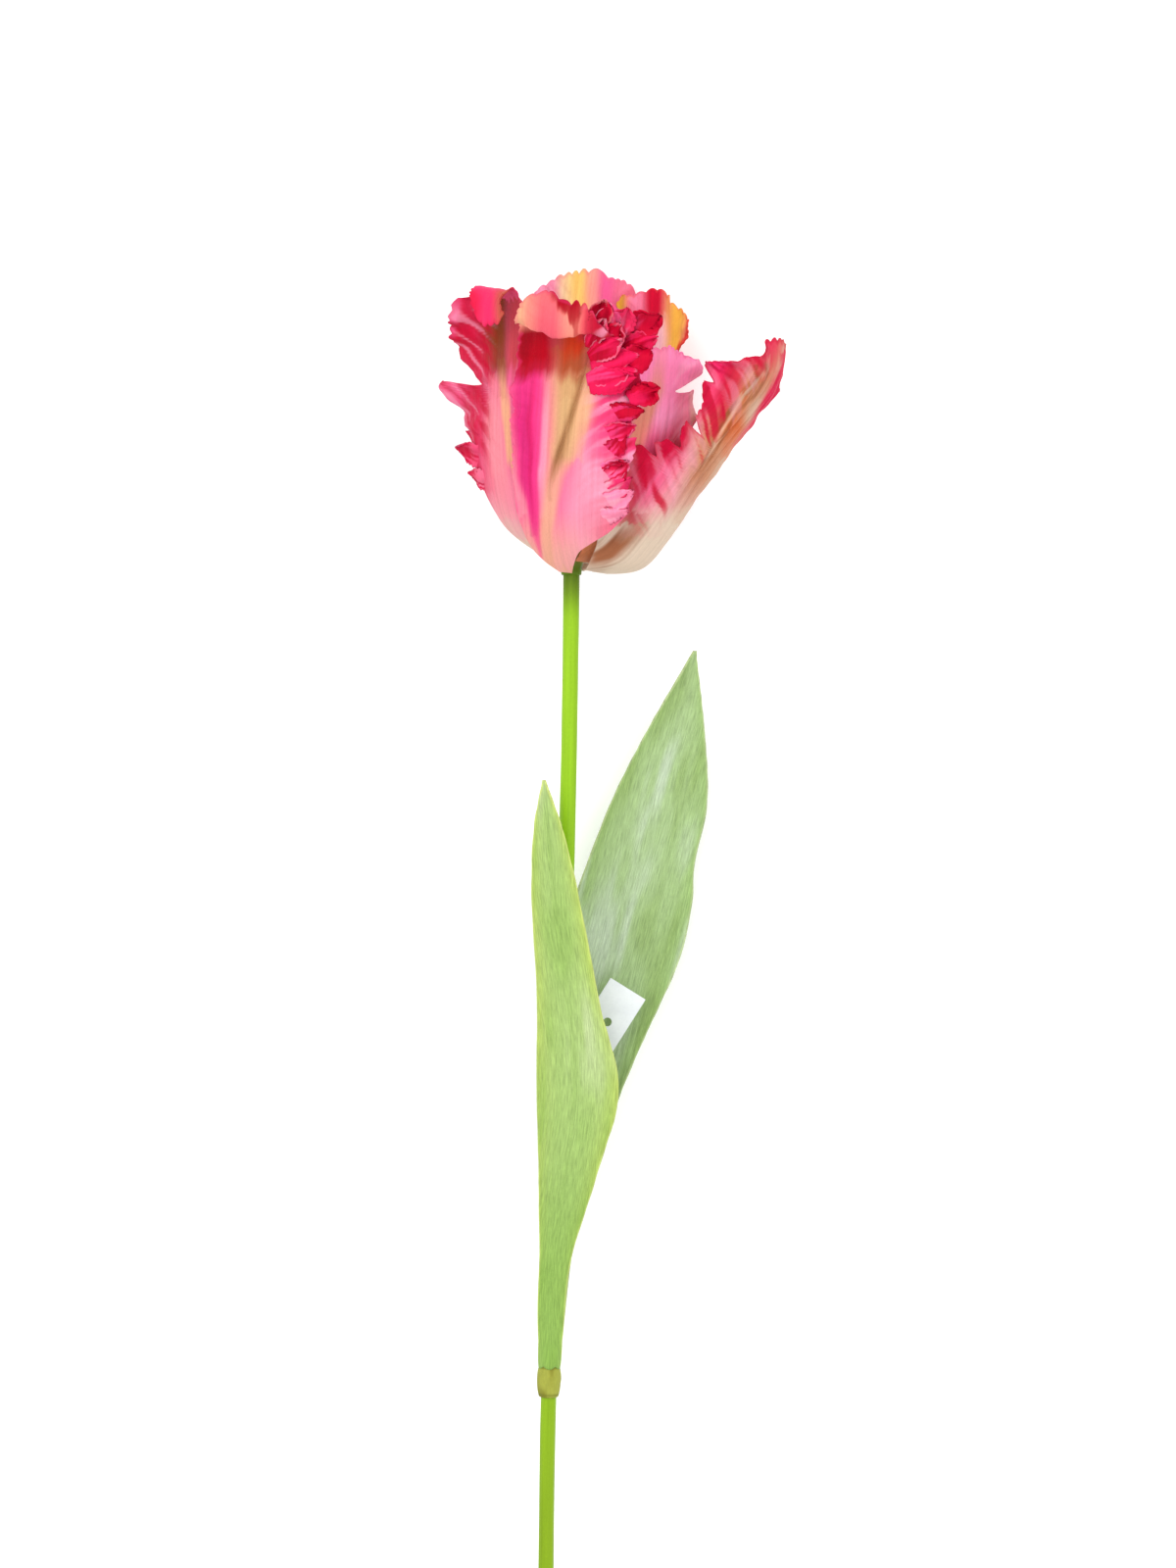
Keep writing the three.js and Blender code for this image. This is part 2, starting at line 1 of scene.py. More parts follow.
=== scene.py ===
# %% [markdown]
# # An artificial parrot tulip, lying down
# The real thing is a stem from a shop: six petals cut from printed satin and pressed into a cup, a
# plastic stem over a wire, two printed leaves that grow out of a moulded collar, and a folded card
# tag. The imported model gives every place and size. Here each piece gets its real edge, its relief
# and its print, and nothing moves away from where the model has it.
#
# All shapes are worked out in millimetres in the flower's own frame, which starts where the cup's
# axis meets the top of the stem. The boss under the petals marks that place.

# %% Load the frame
import math

import bmesh
import bpy
import numpy as np
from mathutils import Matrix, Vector


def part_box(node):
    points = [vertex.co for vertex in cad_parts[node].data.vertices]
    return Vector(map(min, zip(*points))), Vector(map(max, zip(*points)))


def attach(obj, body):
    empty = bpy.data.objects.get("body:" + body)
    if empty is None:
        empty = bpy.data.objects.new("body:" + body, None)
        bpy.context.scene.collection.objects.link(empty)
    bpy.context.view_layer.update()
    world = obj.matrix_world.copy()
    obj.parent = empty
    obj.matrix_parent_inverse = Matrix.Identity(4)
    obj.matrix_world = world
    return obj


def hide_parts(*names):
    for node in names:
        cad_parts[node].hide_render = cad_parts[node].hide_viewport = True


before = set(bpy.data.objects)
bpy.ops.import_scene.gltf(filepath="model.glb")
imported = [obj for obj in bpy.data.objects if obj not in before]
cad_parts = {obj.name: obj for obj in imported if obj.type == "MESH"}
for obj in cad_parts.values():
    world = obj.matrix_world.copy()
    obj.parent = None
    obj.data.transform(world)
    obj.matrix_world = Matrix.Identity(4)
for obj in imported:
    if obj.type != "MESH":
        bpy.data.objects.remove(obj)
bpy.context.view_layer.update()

MM = 0.001
boss_low, boss_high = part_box("receptacle")
FLOWER = np.array([
    (boss_low[0] + boss_high[0]) / 2,
    boss_low[1] + 1 * MM,
    (boss_low[2] + boss_high[2]) / 2,
])
print("flower's axis meets the stem at", FLOWER.round(4))

# %% [markdown]
# ## Camera
# The stem lies on a table and is looked at from straight above. A lens close by would swell the
# near petals, so the camera stands two metres up, and the length of its lens follows from how much
# of the table the picture takes in. A camera looks down its own -Z, so this one needs no turning.
# The "Standard" view keeps strong pinks as clear as the print; the default view greys them.

# %% Camera
scene = bpy.context.scene
scene.view_settings.view_transform = "Standard"

SEEN_HEIGHT = 0.48  # of table that the picture takes in, from top to bottom
CAMERA_HEIGHT = 2.0
VIEW_ASIDE, VIEW_BELOW = 5.1 * MM, 65 * MM  # from the flower's foot to the middle of the view
eye = bpy.data.cameras.new("camera")
eye.lens = eye.sensor_width * CAMERA_HEIGHT / SEEN_HEIGHT
camera = bpy.data.objects.new("camera", eye)
camera.location = (FLOWER[0] + VIEW_ASIDE, FLOWER[1] - VIEW_BELOW, FLOWER[2] + CAMERA_HEIGHT)
scene.collection.objects.link(camera)
scene.camera = camera
print("camera", camera.location[:], "lens", round(eye.lens, 1))

# %% [markdown]
# ## Lights and table
# Satin is shown in soft light: a small lamp would burn white spots on it. Two large area lamps
# stand in for a window and a pale wall. The window is to the upper left, so forms are brighter on
# that side, and a white sky fills the shadows. The table glows faintly, like a light table, and
# throws light back under the petals. A lamp below could do the same but would have to be hidden.

# %% Lights
LIT_SPOT = (0, 0.1, 0)
SKY_STRENGTH = 1.05


def soft_light(name, place, size, watts):
    lamp = bpy.data.lights.new(name, "AREA")
    lamp.size, lamp.energy = size, watts
    light = bpy.data.objects.new(name, lamp)
    light.location = place
    aim = Vector(np.array(LIT_SPOT) - np.array(place))
    light.rotation_euler = aim.to_track_quat("-Z", "Y").to_euler()
    scene.collection.objects.link(light)
    print(name, "gives", watts, "W from", place)


soft_light("window", (-0.8, 0.7, 1.8), 1.4, 17)
soft_light("fill", (1.1, 0.2, 1.8), 1.8, 12)

sky = bpy.data.worlds.new("studio")
scene.world = sky
sky.use_nodes = True
sky.node_tree.nodes["Background"].inputs["Color"].default_value = (1, 1, 1, 1)
sky.node_tree.nodes["Background"].inputs["Strength"].default_value = SKY_STRENGTH

# %% Table
TABLE_REACH = 3
TABLE_WHITE, TABLE_GLOW = (0.9, 0.9, 0.9, 1), 0.16

floor_bm = bmesh.new()
bmesh.ops.create_grid(floor_bm, x_segments=1, y_segments=1, size=TABLE_REACH)
floor_mesh = bpy.data.meshes.new("floor")
floor_bm.to_mesh(floor_mesh)
floor_bm.free()
floor = bpy.data.objects.new("floor", floor_mesh)
scene.collection.objects.link(floor)
table = bpy.data.materials.new("lit table")
table.use_nodes = True
table_top = table.node_tree.nodes["Principled BSDF"].inputs
table_top["Base Color"].default_value = TABLE_WHITE
table_top["Emission Color"].default_value = (1, 1, 1, 1)
table_top["Emission Strength"].default_value = TABLE_GLOW
floor_mesh.materials.append(table)
print("the table reaches", TABLE_REACH, "m to each side")

# %% [markdown]
# ## Stops and noise
# Most of a petal is set by short lists of stops, such as its half-width at a few places. `between`
# reads a smooth curve through them, `smooth` eases from 0 to 1 and `mix` goes part of the way.
# `mottle` is soft noise for ruffles and dye. Blender has noise of its own, but this one reads a
# whole sheet at once and comes out the same on every run.

# %% Stops and noise
def smooth(x, start, end):
    t = np.clip((x - start) / (end - start), 0, 1)
    return t * t * (3 - 2 * t)


def mix(low, high, share):
    return low + (high - low) * share


def between(stops, at):
    """The value at a place on a smooth curve through stops [(place, value), ...]."""
    place, value = np.array(stops, float).T
    slope = np.empty_like(value)
    slope[1:-1] = (value[2:] - value[:-2]) / (place[2:] - place[:-2])
    slope[0] = (value[1] - value[0]) / (place[1] - place[0])
    slope[-1] = (value[-1] - value[-2]) / (place[-1] - place[-2])
    i = np.clip(np.searchsorted(place, at, side="right") - 1, 0, len(place) - 2)
    gap = place[i + 1] - place[i]
    t = np.clip((at - place[i]) / gap, 0, 1)
    rest = 1 - t
    return (
        value[i] * rest * rest * (1 + 2 * t) + value[i + 1] * t * t * (3 - 2 * t)
        + slope[i] * gap * t * rest * rest - slope[i + 1] * gap * t * t * rest
    )


LATTICE = 64  # cells of noise to a side, before it repeats


def mottle(x, y, seed):
    """Soft noise from -1 to 1, with one bump to a unit."""
    x, y = np.broadcast_arrays(np.asarray(x, float), np.asarray(y, float))
    lattice = np.random.default_rng(seed).uniform(-1, 1, (LATTICE, LATTICE))
    col, row = np.floor(x).astype(int), np.floor(y).astype(int)
    fx, fy = smooth(x - col, 0, 1), smooth(y - row, 0, 1)
    corner = lambda i, j: lattice[(col + i) % LATTICE, (row + j) % LATTICE]
    return mix(mix(corner(0, 0), corner(1, 0), fx), mix(corner(0, 1), corner(1, 1), fx), fy)


print("halfway between stops 0 and 1:", between([(0, 0), (1, 1)], 0.5))

# %% [markdown]
# ## Paths
# A midrib, the stem and the outline of a turned part are smooth curves through a few points.
# Blender's curve objects could draw them, but laying cloth needs an answer to "where am I after so
# many millimetres", so a path is worked out here as evenly spaced points. Its kind of curve passes
# through every point given and doesn't loop where points are close together.

# %% Paths
COURSE_STEPS, SPAN_STEPS = 800, 60


def route(points):
    """A smooth path through points, as evenly spaced points, and its length."""
    p = np.array(points, float)
    p = np.vstack([2 * p[0] - p[1], p, 2 * p[-1] - p[-2]])
    t = np.linspace(0, 1, SPAN_STEPS, endpoint=False)[:, None]
    spans = []
    for p0, p1, p2, p3 in zip(p, p[1:], p[2:], p[3:]):
        d0, d1, d2 = (np.linalg.norm(gap) ** 0.5 for gap in (p1 - p0, p2 - p1, p3 - p2))
        leave = p2 - p1 + d1 * ((p1 - p0) / d0 - (p2 - p0) / (d0 + d1))
        reach = p2 - p1 + d1 * ((p3 - p2) / d2 - (p3 - p1) / (d1 + d2))
        cubic = (2 * (p1 - p2) + leave + reach) * t**3
        spans.append(cubic + (3 * (p2 - p1) - 2 * leave - reach) * t**2 + leave * t + p1)
    path = np.vstack([*spans, p[-2:-1]])
    walked = np.r_[0, np.cumsum(np.linalg.norm(np.diff(path, axis=0), axis=1))]
    even = np.linspace(0, walked[-1], COURSE_STEPS + 1)
    return np.stack([np.interp(even, walked, axis) for axis in path.T], -1), walked[-1]


def follow(course, share):
    """Points and headings at shares of a path's length. It runs on straight past both ends."""
    path, length = course
    headings = np.gradient(path, axis=0)
    inside = np.clip(share, 0, 1)
    steps = np.arange(COURSE_STEPS + 1)

    def read(table):
        return np.stack([np.interp(inside * COURSE_STEPS, steps, axis) for axis in table.T], -1)

    heading = read(headings)
    heading /= np.linalg.norm(heading, axis=-1, keepdims=True)
    return read(path) + (share - inside)[..., None] * length * heading, heading


arc = route([(0, 0), (0.5, 0.13), (0.87, 0.5), (1, 1)])
print("a quarter circle through four stops is", round(arc[1], 2), "long")

# %% [markdown]
# ## Dyes
# Colours are easiest to give as a screen shows them, from 0 to 255, but a shader wants the light
# they stand for. The lit table also lifts every colour, so each dye starts a little darker and
# deeper than it should look. Every material could put that right for itself; done here, once, it
# keeps all the pieces in tune.

# %% Dyes
UNDER_LAMPS, DEPTH = 0.8, 1.16  # how much darker a dye starts, and how much deeper


def tint(red, green, blue):
    """A colour given as on a screen, as the light it stands for."""
    c = np.array([red, green, blue]) / 255
    return UNDER_LAMPS * np.where(c > 0.04045, ((c + 0.055) / 1.055) ** 2.4, c / 12.92) ** DEPTH


print("the petals' pink is dyed", tint(248, 120, 160).round(3))

# %% [markdown]
# ## Cloth sheets
# A real petal starts as flat printed satin, die-cut along its feathered edge, and is then pressed
# hot into shape. The same three steps make it here. A grid is the cloth, a *cut* says where the
# grid's edge falls on the flat cloth, and a *press* takes the flat cloth into the round. Because
# the press only knows flat positions, a slit or a notch in the edge leaves the form round it
# undisturbed. Each point also keeps its flat position, in millimetres, and its colour, which is its
# dye and in places painted light and shade, for the materials to read.

# %% Sheets
def new_sheet_mesh():
    bm = bmesh.new()
    # each point's colour: its dye, and in places painted light and shade
    bm.verts.layers.float_color.new("dye_and_shading")
    bm.verts.layers.float_vector.new("cloth")
    return bm


def lay(bm, columns, rows, shape):
    """Adds one grid and moves it to where shape(u, v) says, u from -1 to 1 and v from 0 to 1."""
    grid = bmesh.ops.create_grid(bm, x_segments=columns, y_segments=rows, size=1)["verts"]
    u = np.array([vert.co.x for vert in grid])
    v = np.array([vert.co.y / 2 + 0.5 for vert in grid])
    spots, dye_and_shading, cloth = shape(u, v)
    dye_and_shading_layer, cloths = bm.verts.layers.float_color["dye_and_shading"], bm.verts.layers.float_vector["cloth"]
    for vert, spot, colour, flat in zip(grid, spots * MM + FLOWER, dye_and_shading, cloth):
        vert.co = spot
        vert[dye_and_shading_layer] = (*colour, 1)
        vert[cloths] = flat


def as_piece(bm, name, slot, material, *nodes):
    """Makes a finished piece of a bmesh: where it rides, what it stands for, what it is made of."""
    mesh = bpy.data.meshes.new(name)
    bm.to_mesh(mesh)
    bm.free()
    for polygon in mesh.polygons:
        polygon.use_smooth = True
    piece = bpy.data.objects.new(name, mesh)
    scene.collection.objects.link(piece)
    piece.data.materials.append(material)
    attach(piece, "root")
    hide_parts(*nodes)
    print(f"{name}: {len(mesh.vertices)} points")
    return piece


def thicken(piece, thickness):
    """Gives a sheet both its faces and a cut edge, half of the thickness to each side."""
    solid = piece.modifiers.new("thickness", "SOLIDIFY")
    solid.thickness, solid.offset = thickness * MM, 0
    solid.use_quality_normals = True


trial = new_sheet_mesh()
layers = trial.verts.layers
print("every point carries", layers.float_color.keys() + layers.float_vector.keys())
trial.free()

# %% [markdown]
# ## Wiring nodes
# A material's nodes can be wired by hand in the shader editor. In a script each one takes a few
# lines, so three helpers shorten them: `socket` gives a node group an input or output, `node` adds
# a node and fills its inputs with values or links, and `maths` is a single sum.

# %% Node helpers
def socket(tree, name, kind, side, default=None):
    made = tree.interface.new_socket(name=name, socket_type=kind, in_out=side)
    if default is not None:
        made.default_value = default


def node(tree, kind, **inputs):
    made = tree.nodes.new(kind)
    for name, value in inputs.items():
        numbered = name[0] == "i" and name[1:].isdigit()  # i0 is a node's first input
        entry = made.inputs[int(name[1:]) if numbered else name]
        if isinstance(value, bpy.types.NodeSocket):
            tree.links.new(value, entry)
        else:
            entry.default_value = value
    return made


def maths(tree, operation, first, second=0.0):
    made = node(tree, "ShaderNodeMath", i0=first, i1=second)
    made.operation = operation
    return made.outputs[0]


def blend_colours(tree, mode, share, first, second):
    made = node(tree, "ShaderNodeMix")
    made.data_type, made.blend_type = "RGBA", mode
    for index, value in ((0, share), (6, first), (7, second)):  # a colour mix's own inputs
        if isinstance(value, bpy.types.NodeSocket):
            tree.links.new(value, made.inputs[index])
        else:
            made.inputs[index].default_value = value
    return made.outputs[2]


def ramp(tree, value, *stops):
    made = node(tree, "ShaderNodeValToRGB", Fac=value)
    made.color_ramp.elements[0].position, made.color_ramp.elements[0].color = stops[0]
    made.color_ramp.elements[1].position, made.color_ramp.elements[1].color = stops[-1]
    for position, colour in stops[1:-1]:
        made.color_ramp.elements.new(position).color = colour
    return made.outputs["Color"]


def grey(level):
    return (level, level, level, 1)


print("a ramp's stop is a place and a colour, such as", (0.3, grey(0.9)))

# %% [markdown]
# ## Cloth grain
# Dyed satin has two kinds of grain: streaks that run the length of the petal, where the dye has
# bled along the threads, and the weave itself. Both come from noise read in the cloth's own flat
# millimetres, stretched along the threads, so they bend with every petal. One group makes them for
# the petals and the leaves. It only puts out values; the shader stays in each material.

# %% Cloth grain group
THREADS_ACROSS, THREADS_ALONG = 3.6, 0.9  # bumps to a millimetre

grain = bpy.data.node_groups.new("cloth grain", "ShaderNodeTree")
socket(grain, "Cloth", "NodeSocketVector", "INPUT")
socket(grain, "Streak width", "NodeSocketFloat", "INPUT", 1.0)
socket(grain, "Streak length", "NodeSocketFloat", "INPUT", 30.0)
socket(grain, "Streaks", "NodeSocketFloat", "OUTPUT")
socket(grain, "Threads", "NodeSocketFloat", "OUTPUT")

entry = grain.nodes.new("NodeGroupInput").outputs
apart = node(grain, "ShaderNodeSeparateXYZ", Vector=entry["Cloth"]).outputs
across = maths(grain, "DIVIDE", apart["X"], entry["Streak width"])
along = maths(grain, "DIVIDE", apart["Y"], entry["Streak length"])
combed = node(grain, "ShaderNodeCombineXYZ", X=across, Y=along).outputs[0]
streaks = node(grain, "ShaderNodeTexNoise", Vector=combed, Scale=1.0, Detail=4.0, Roughness=0.6)
fine_across = maths(grain, "MULTIPLY", apart["X"], THREADS_ACROSS)
fine_along = maths(grain, "MULTIPLY", apart["Y"], THREADS_ALONG)
fine = node(grain, "ShaderNodeCombineXYZ", X=fine_across, Y=fine_along).outputs[0]
threads = node(grain, "ShaderNodeTexNoise", Vector=fine, Scale=1.0, Detail=2.0, Roughness=0.7)
leave = grain.nodes.new("NodeGroupOutput").inputs
grain.links.new(streaks.outputs["Fac"], leave["Streaks"])
grain.links.new(threads.outputs["Fac"], leave["Threads"])
print("cloth grain has", [entry.name for entry in grain.interface.items_tree])

# %% [markdown]
# ## Dyed cloth
# Printed satin is thin and a little glossy, and its colour pools and bleaches along the threads.
# The material starts from the colour that each point carries, which is its dye and in places
# painted light and shade, deepens and bleaches it by the streaks, speckles it by the threads, and
# lets both of them lift the surface and change its roughness. A painted image could hold the print,
# but it would blur close by and would have to be painted again whenever a petal's cut changed. What
# is the same all over sits on the shader's own sockets.

# %% Dyed materials
def shader(name):
    material = bpy.data.materials.new(name)
    material.use_nodes = True
    return material, material.node_tree, material.node_tree.nodes["Principled BSDF"]


def attribute(tree, name):
    made = tree.nodes.new("ShaderNodeAttribute")
    made.attribute_name = name
    return made.outputs


def dyed(name, streak, dark, light, roughness, height, sheen=0.0, shine=0.13):
    """A dyed surface: its colour, deepened and bleached along streaks, and its fine threads."""
    material, tree, principled = shader(name)
    cloth = attribute(tree, "cloth")["Vector"]
    # the colour each point carries: its dye, and in places painted light and shade
    dye_and_shading = attribute(tree, "dye_and_shading")["Color"]
    woven = tree.nodes.new("ShaderNodeGroup")
    woven.node_tree = grain
    tree.links.new(cloth, woven.inputs["Cloth"])
    woven.inputs["Streak width"].default_value = streak[0]
    woven.inputs["Streak length"].default_value = streak[1]
    streaks, threads = woven.outputs["Streaks"], woven.outputs["Threads"]
    bled = ramp(tree, streaks, (0.3, grey(dark)), (0.5, grey(1)), (0.72, grey(light)))
    colour = blend_colours(tree, "MULTIPLY", 1.0, dye_and_shading, bled)
    spun = ramp(tree, threads, (0.3, grey(0.93)), (0.7, grey(1.05)))
    colour = blend_colours(tree, "MULTIPLY", 1.0, colour, spun)
    tree.links.new(colour, principled.inputs["Base Color"])
    gloss = maths(tree, "MULTIPLY_ADD", threads, 0.2)
    gloss.node.inputs[2].default_value = roughness - 0.1
    tree.links.new(gloss, principled.inputs["Roughness"])
    relief = maths(tree, "MULTIPLY_ADD", streaks, 0.7)
    tree.links.new(maths(tree, "MULTIPLY", threads, 0.3), relief.node.inputs[2])
    bump = node(tree, "ShaderNodeBump", Height=relief, Strength=0.6, Distance=height * MM)
    tree.links.new(bump.outputs[0], principled.inputs["Normal"])
    principled.inputs["Sheen Weight"].default_value = sheen
    principled.inputs["Sheen Roughness"].default_value = 0.5
    principled.inputs["Specular IOR Level"].default_value = shine
    print(name, "streaks are", streak, "mm wide and long")
    return material


satin = dyed("printed satin", (0.9, 34), 0.88, 1.09, 0.62, 0.3, shine=0.07)
leaf_cloth = dyed("printed leaf cloth", (0.34, 5.5), 0.72, 1.28, 0.7, 0.25, sheen=0.1)

# %% [markdown]
# ## The cup's side view
# The six petals stand in two rings and together make a cup. Seen from the side, a petal's midrib
# leaves the boss nearly level, turns up and closes a little at the mouth. One list of stops holds
# that line as shares of the cup's radius and height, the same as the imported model's, and a petal
# may end in a tip of its own. Drawing each midrib alone would let the cup drift out of round.

# %% The cup's side view
CUP_RADIUS, CUP_HEIGHT = 33, 92
RING_STEP = 2.4  # from the outer ring of petals to the inner one
HEAD_LEAN = math.radians(6)
CUP_PROFILE = [
    (0.19, 0.01), (0.4, 0.042), (0.66, 0.115), (0.85, 0.25), (0.955, 0.42), (1, 0.59),
    (1, 0.76), (0.97, 0.92), (0.94, 1),
]


def cup_spine(inward, raised, stops=9, curl=()):
    """The cup's side view, then a tip of its own, in millimetres from the axis and up it."""
    spine = []
    for i, (r, h) in enumerate(CUP_PROFILE[:stops]):
        steep = min(1, i / 4)
        spine.append((
            r * CUP_RADIUS - inward * (0.25 + 0.75 * steep),
            h * CUP_HEIGHT * mix(1, raised, h) + inward * (1 - steep),
        ))
    return spine + [(r * CUP_RADIUS, h * CUP_HEIGHT) for r, h in curl]


def course_of(petal):
    """A petal's midrib as a path. It is worked out once and then kept with the petal."""
    if not petal.get("course"):
        petal["course"] = route(petal["spine"])
    return petal["course"]


def half_width(petal, across, share):
    return np.where(across < 0, between(petal["left"], share), between(petal["right"], share))


mouth = max(r for r, _ in CUP_PROFILE) * CUP_RADIUS
print("the cup is", 2 * mouth, "mm wide and", CUP_HEIGHT, "mm high")

# %% [markdown]
# ## The relief
# Pressed satin isn't smooth. It has a crease where the midrib is, faint pleats that fan out from
# the claw, and ruffles that grow toward the margin, where there is more cloth than room. A
# Displace modifier could raise such folds, but it can't tell a midrib from a margin. A function of
# the flat position can, so the relief is worked out there, in millimetres above the plain shape.

# %% Creases, pleats and ruffles
def crease(across, share, line, depth, half):
    """A pressed line along the petal: stops [(share, across), ...] for its place."""
    middle = between(line, share)
    return -depth * np.exp(-(((across - middle) / half) ** 2))


def ruffled(petal, across, along):
    """How far pressed cloth stands above its petal's plain shape."""
    share = along / course_of(petal)[1]
    rim = np.clip(np.abs(across) / half_width(petal, across, share), 0, 1.3)
    seed = petal["seed"] + 5
    side = np.sign(across)
    pitch, height = petal["ruffle"]
    phase = 2 * mottle(along / 16, side * 3 + 7, seed) + side
    wave = np.sin(2 * math.pi * along / pitch + phase) + 0.4 * np.sin(5.1 * math.pi * along / pitch)
    pleats = 0.28 * mottle(across / 1.7, along / 45, seed)
    pleats = pleats + 0.5 * mottle(across / 6, along / 30, seed)
    high = smooth(share, 0.22, 0.6)
    relief = height * wave * rim**2.5 * high + pleats * smooth(share, 0.05, 0.3)
    relief += 0.35 * mottle(across / 4, along / 5, seed + 1) * rim * high
    tip = smooth(share, 0.86, 1)
    relief += tip * petal["tip_ruffle"] * np.sin(across / 2.4 + 2 * mottle(across / 7, 1.5, seed))
    for side, begin, depth, low, high in petal.get("tucks", ()):
        # a margin that passes under its neighbour, or over it
        margin = smooth(side * across, begin, begin + 12) * smooth(share, 0.03, 0.16)
        relief -= depth * margin * (1 - smooth(share, low, high))
    for line, depth, half, start, end in petal.get("creases", ()):
        fade = smooth(share, start, start + 0.12) * (1 - smooth(share, end - 0.12, end))
        relief += crease(across, share, line, depth, half) * fade
    return relief


deepest = crease(0.0, 0.5, [(0, 0), (1, 0)], 1.3, 0.8)
print("a midrib's crease is pressed", float(deepest), "mm deep")

# %% [markdown]
# ## The press
# Hot moulds press the cut cloth into shape. Here a function takes a flat position to its place in
# the round: along the midrib's path, then across it on an arc that follows the cup or is flatter.
# Bending a finished mesh with modifiers could do it, but then slits and lobes would shift the
# form. The relief is added square to the surface. The whole cup leans a few degrees on its stem,
# so every point turns about the upright axis at the end.

# %% From flat cloth to pressed petal
AXIS = np.array([0, 1.0, 0])


def shell(petal, across, along):
    """The pressed shape without relief: millimetres right of the midrib and along it."""
    turn = math.radians(petal["azimuth"])
    radial = np.array([math.cos(turn), 0, math.sin(turn)])
    sideways = np.array([math.sin(turn), 0, -math.cos(turn)])
    course = course_of(petal)
    share = along / course[1]
    bow = petal.get("bow", 0) * (across / 15) ** 2 * smooth(share, 0.5, 0.78) / course[1]
    spot, heading = follow(course, share - bow)
    if "hem" in petal:  # the lower edge of a tip that hangs over
        hem = between(petal["hem"], across) + 0.5 * mottle(across / 3, 2.5, petal["seed"])
        spot[:, 1] += hem * smooth(share, 0.6, 0.8)
    own = smooth(share, 0, 0.5)
    rounded, flare = (np.where(across < 0, *petal[key]) for key in ("round", "flare"))
    reach = np.maximum(spot[:, 0], 3)
    roll = np.where(rounded > 0, mix(reach, np.maximum(rounded, 1), own), reach)
    square = heading[:, 1:] * radial - heading[:, :1] * AXIS
    square *= np.where(square @ radial < 0, -1, 1)[:, None]
    outward = mix(radial, square, (own * petal.get("leans", 0))[:, None])
    outward /= np.linalg.norm(outward, axis=-1, keepdims=True)
    angle = (across / roll)[:, None]
    edgewise = outward * np.cos(angle) + sideways * np.sin(angle)
    grown = np.abs(across) / half_width(petal, across, np.minimum(share, 0.8))
    swing = flare * np.minimum(grown, 1.3) ** 3 * np.clip(share, 0, 1) ** 2
    return (
        spot[:, :1] * radial + spot[:, 1:] * AXIS
        + sideways * roll[:, None] * np.sin(angle)
        - outward * roll[:, None] * (1 - np.cos(angle))
        + edgewise * swing[:, None]
    )


FEELER = 0.15  # how far to each side the surface's slope is felt


def press(petal, across, along, lift=0.0):
    """Where flat cloth goes, with its relief and anything it is lifted by."""
    right = shell(petal, across + FEELER, along) - shell(petal, across - FEELER, along)
    tipward = shell(petal, across, along + FEELER) - shell(petal, across, along - FEELER)
    normal = np.cross(right, tipward)
    normal /= np.linalg.norm(normal, axis=-1, keepdims=True)
    raised = ruffled(petal, across, along) + lift
    spots = shell(petal, across, along) + normal * raised[:, None]
    x, y = spots[:, 0].copy(), spots[:, 1].copy()
    spots[:, 0] = x * math.cos(HEAD_LEAN) + y * math.sin(HEAD_LEAN)
    spots[:, 1] = y * math.cos(HEAD_LEAN) - x * math.sin(HEAD_LEAN)
    return spots


print("the cup leans", round(math.degrees(HEAD_LEAN), 1), "degrees on its stem")

# %% [markdown]
# ## The cut
# A parrot tulip's petals are slashed into feathers that point up and out. A list of lobes swells
# and pinches the half-width, slits are narrow wedges out of it, and fine teeth run round the rest.
# A knife or a boolean would leave ragged faces along such an edge, while a grid whose columns are
# drawn in keeps them even. The grid's rows rise toward the margin, so everything cut into the edge
# slants like a feather's barbs.

# %% Cutting a petal's edge
EDGE_PITCH, TIP_PITCH = 2.6, 3.1  # from tooth to tooth


def teeth(place, pitch, depth, seed):
    """A nibbled edge: rounded teeth of uneven size."""
    wave = np.abs(np.sin(math.pi * (place / pitch + 0.8 * mottle(place / pitch / 2.3, 0.5, seed))))
    return depth * (wave - 0.6) * (1 + 0.7 * mottle(place / pitch / 1.7, 3.5, seed))


def cut(petal, u, v):
    """Flat position of a grid's point, and how far it is from the cut edge."""
    left = u < 0
    length = course_of(petal)[1]
    wide = half_width(petal, u, v)
    lobes = np.where(left, between(petal["left_lobes"], v), between(petal["right_lobes"], v))
    reach = wide * lobes
    for side, place, depth, gape in petal["slits"]:
        wedge = np.clip(1 - np.abs(v - place) / gape, 0, 1) ** 0.8
        reach = reach - np.where(left == (side < 0), depth * wedge, 0)
    fringe = teeth(v * length, EDGE_PITCH, petal["teeth"], petal["seed"])
    reach = reach + smooth(v, *petal["toothed"]) * fringe
    reach = np.maximum(reach, 1.5)
    across = u * reach
    ahead = mix(petal["up"], petal["tip"], v**3) * np.minimum(1, 3 * v)
    along = v * length + ahead * (across / wide) ** 2
    tipped = smooth(v, 0.86, 1)
    nibble = teeth(across + 40, TIP_PITCH, petal["tip_teeth"], petal["seed"] + 1)
    bite = petal["tip_teeth"] * 1.6 * mottle(across / 5, 0.3, petal["seed"] + 2)
    along = along + tipped * (nibble + bite + petal.get("slant", 0) * smooth(across, -7, 3))
    edge = np.minimum((1 - np.abs(u)) * reach, (1 - v) * length)
    return across, along, edge


print("teeth are", EDGE_PITCH, "mm apart on the sides and", TIP_PITCH, "mm at the tip")

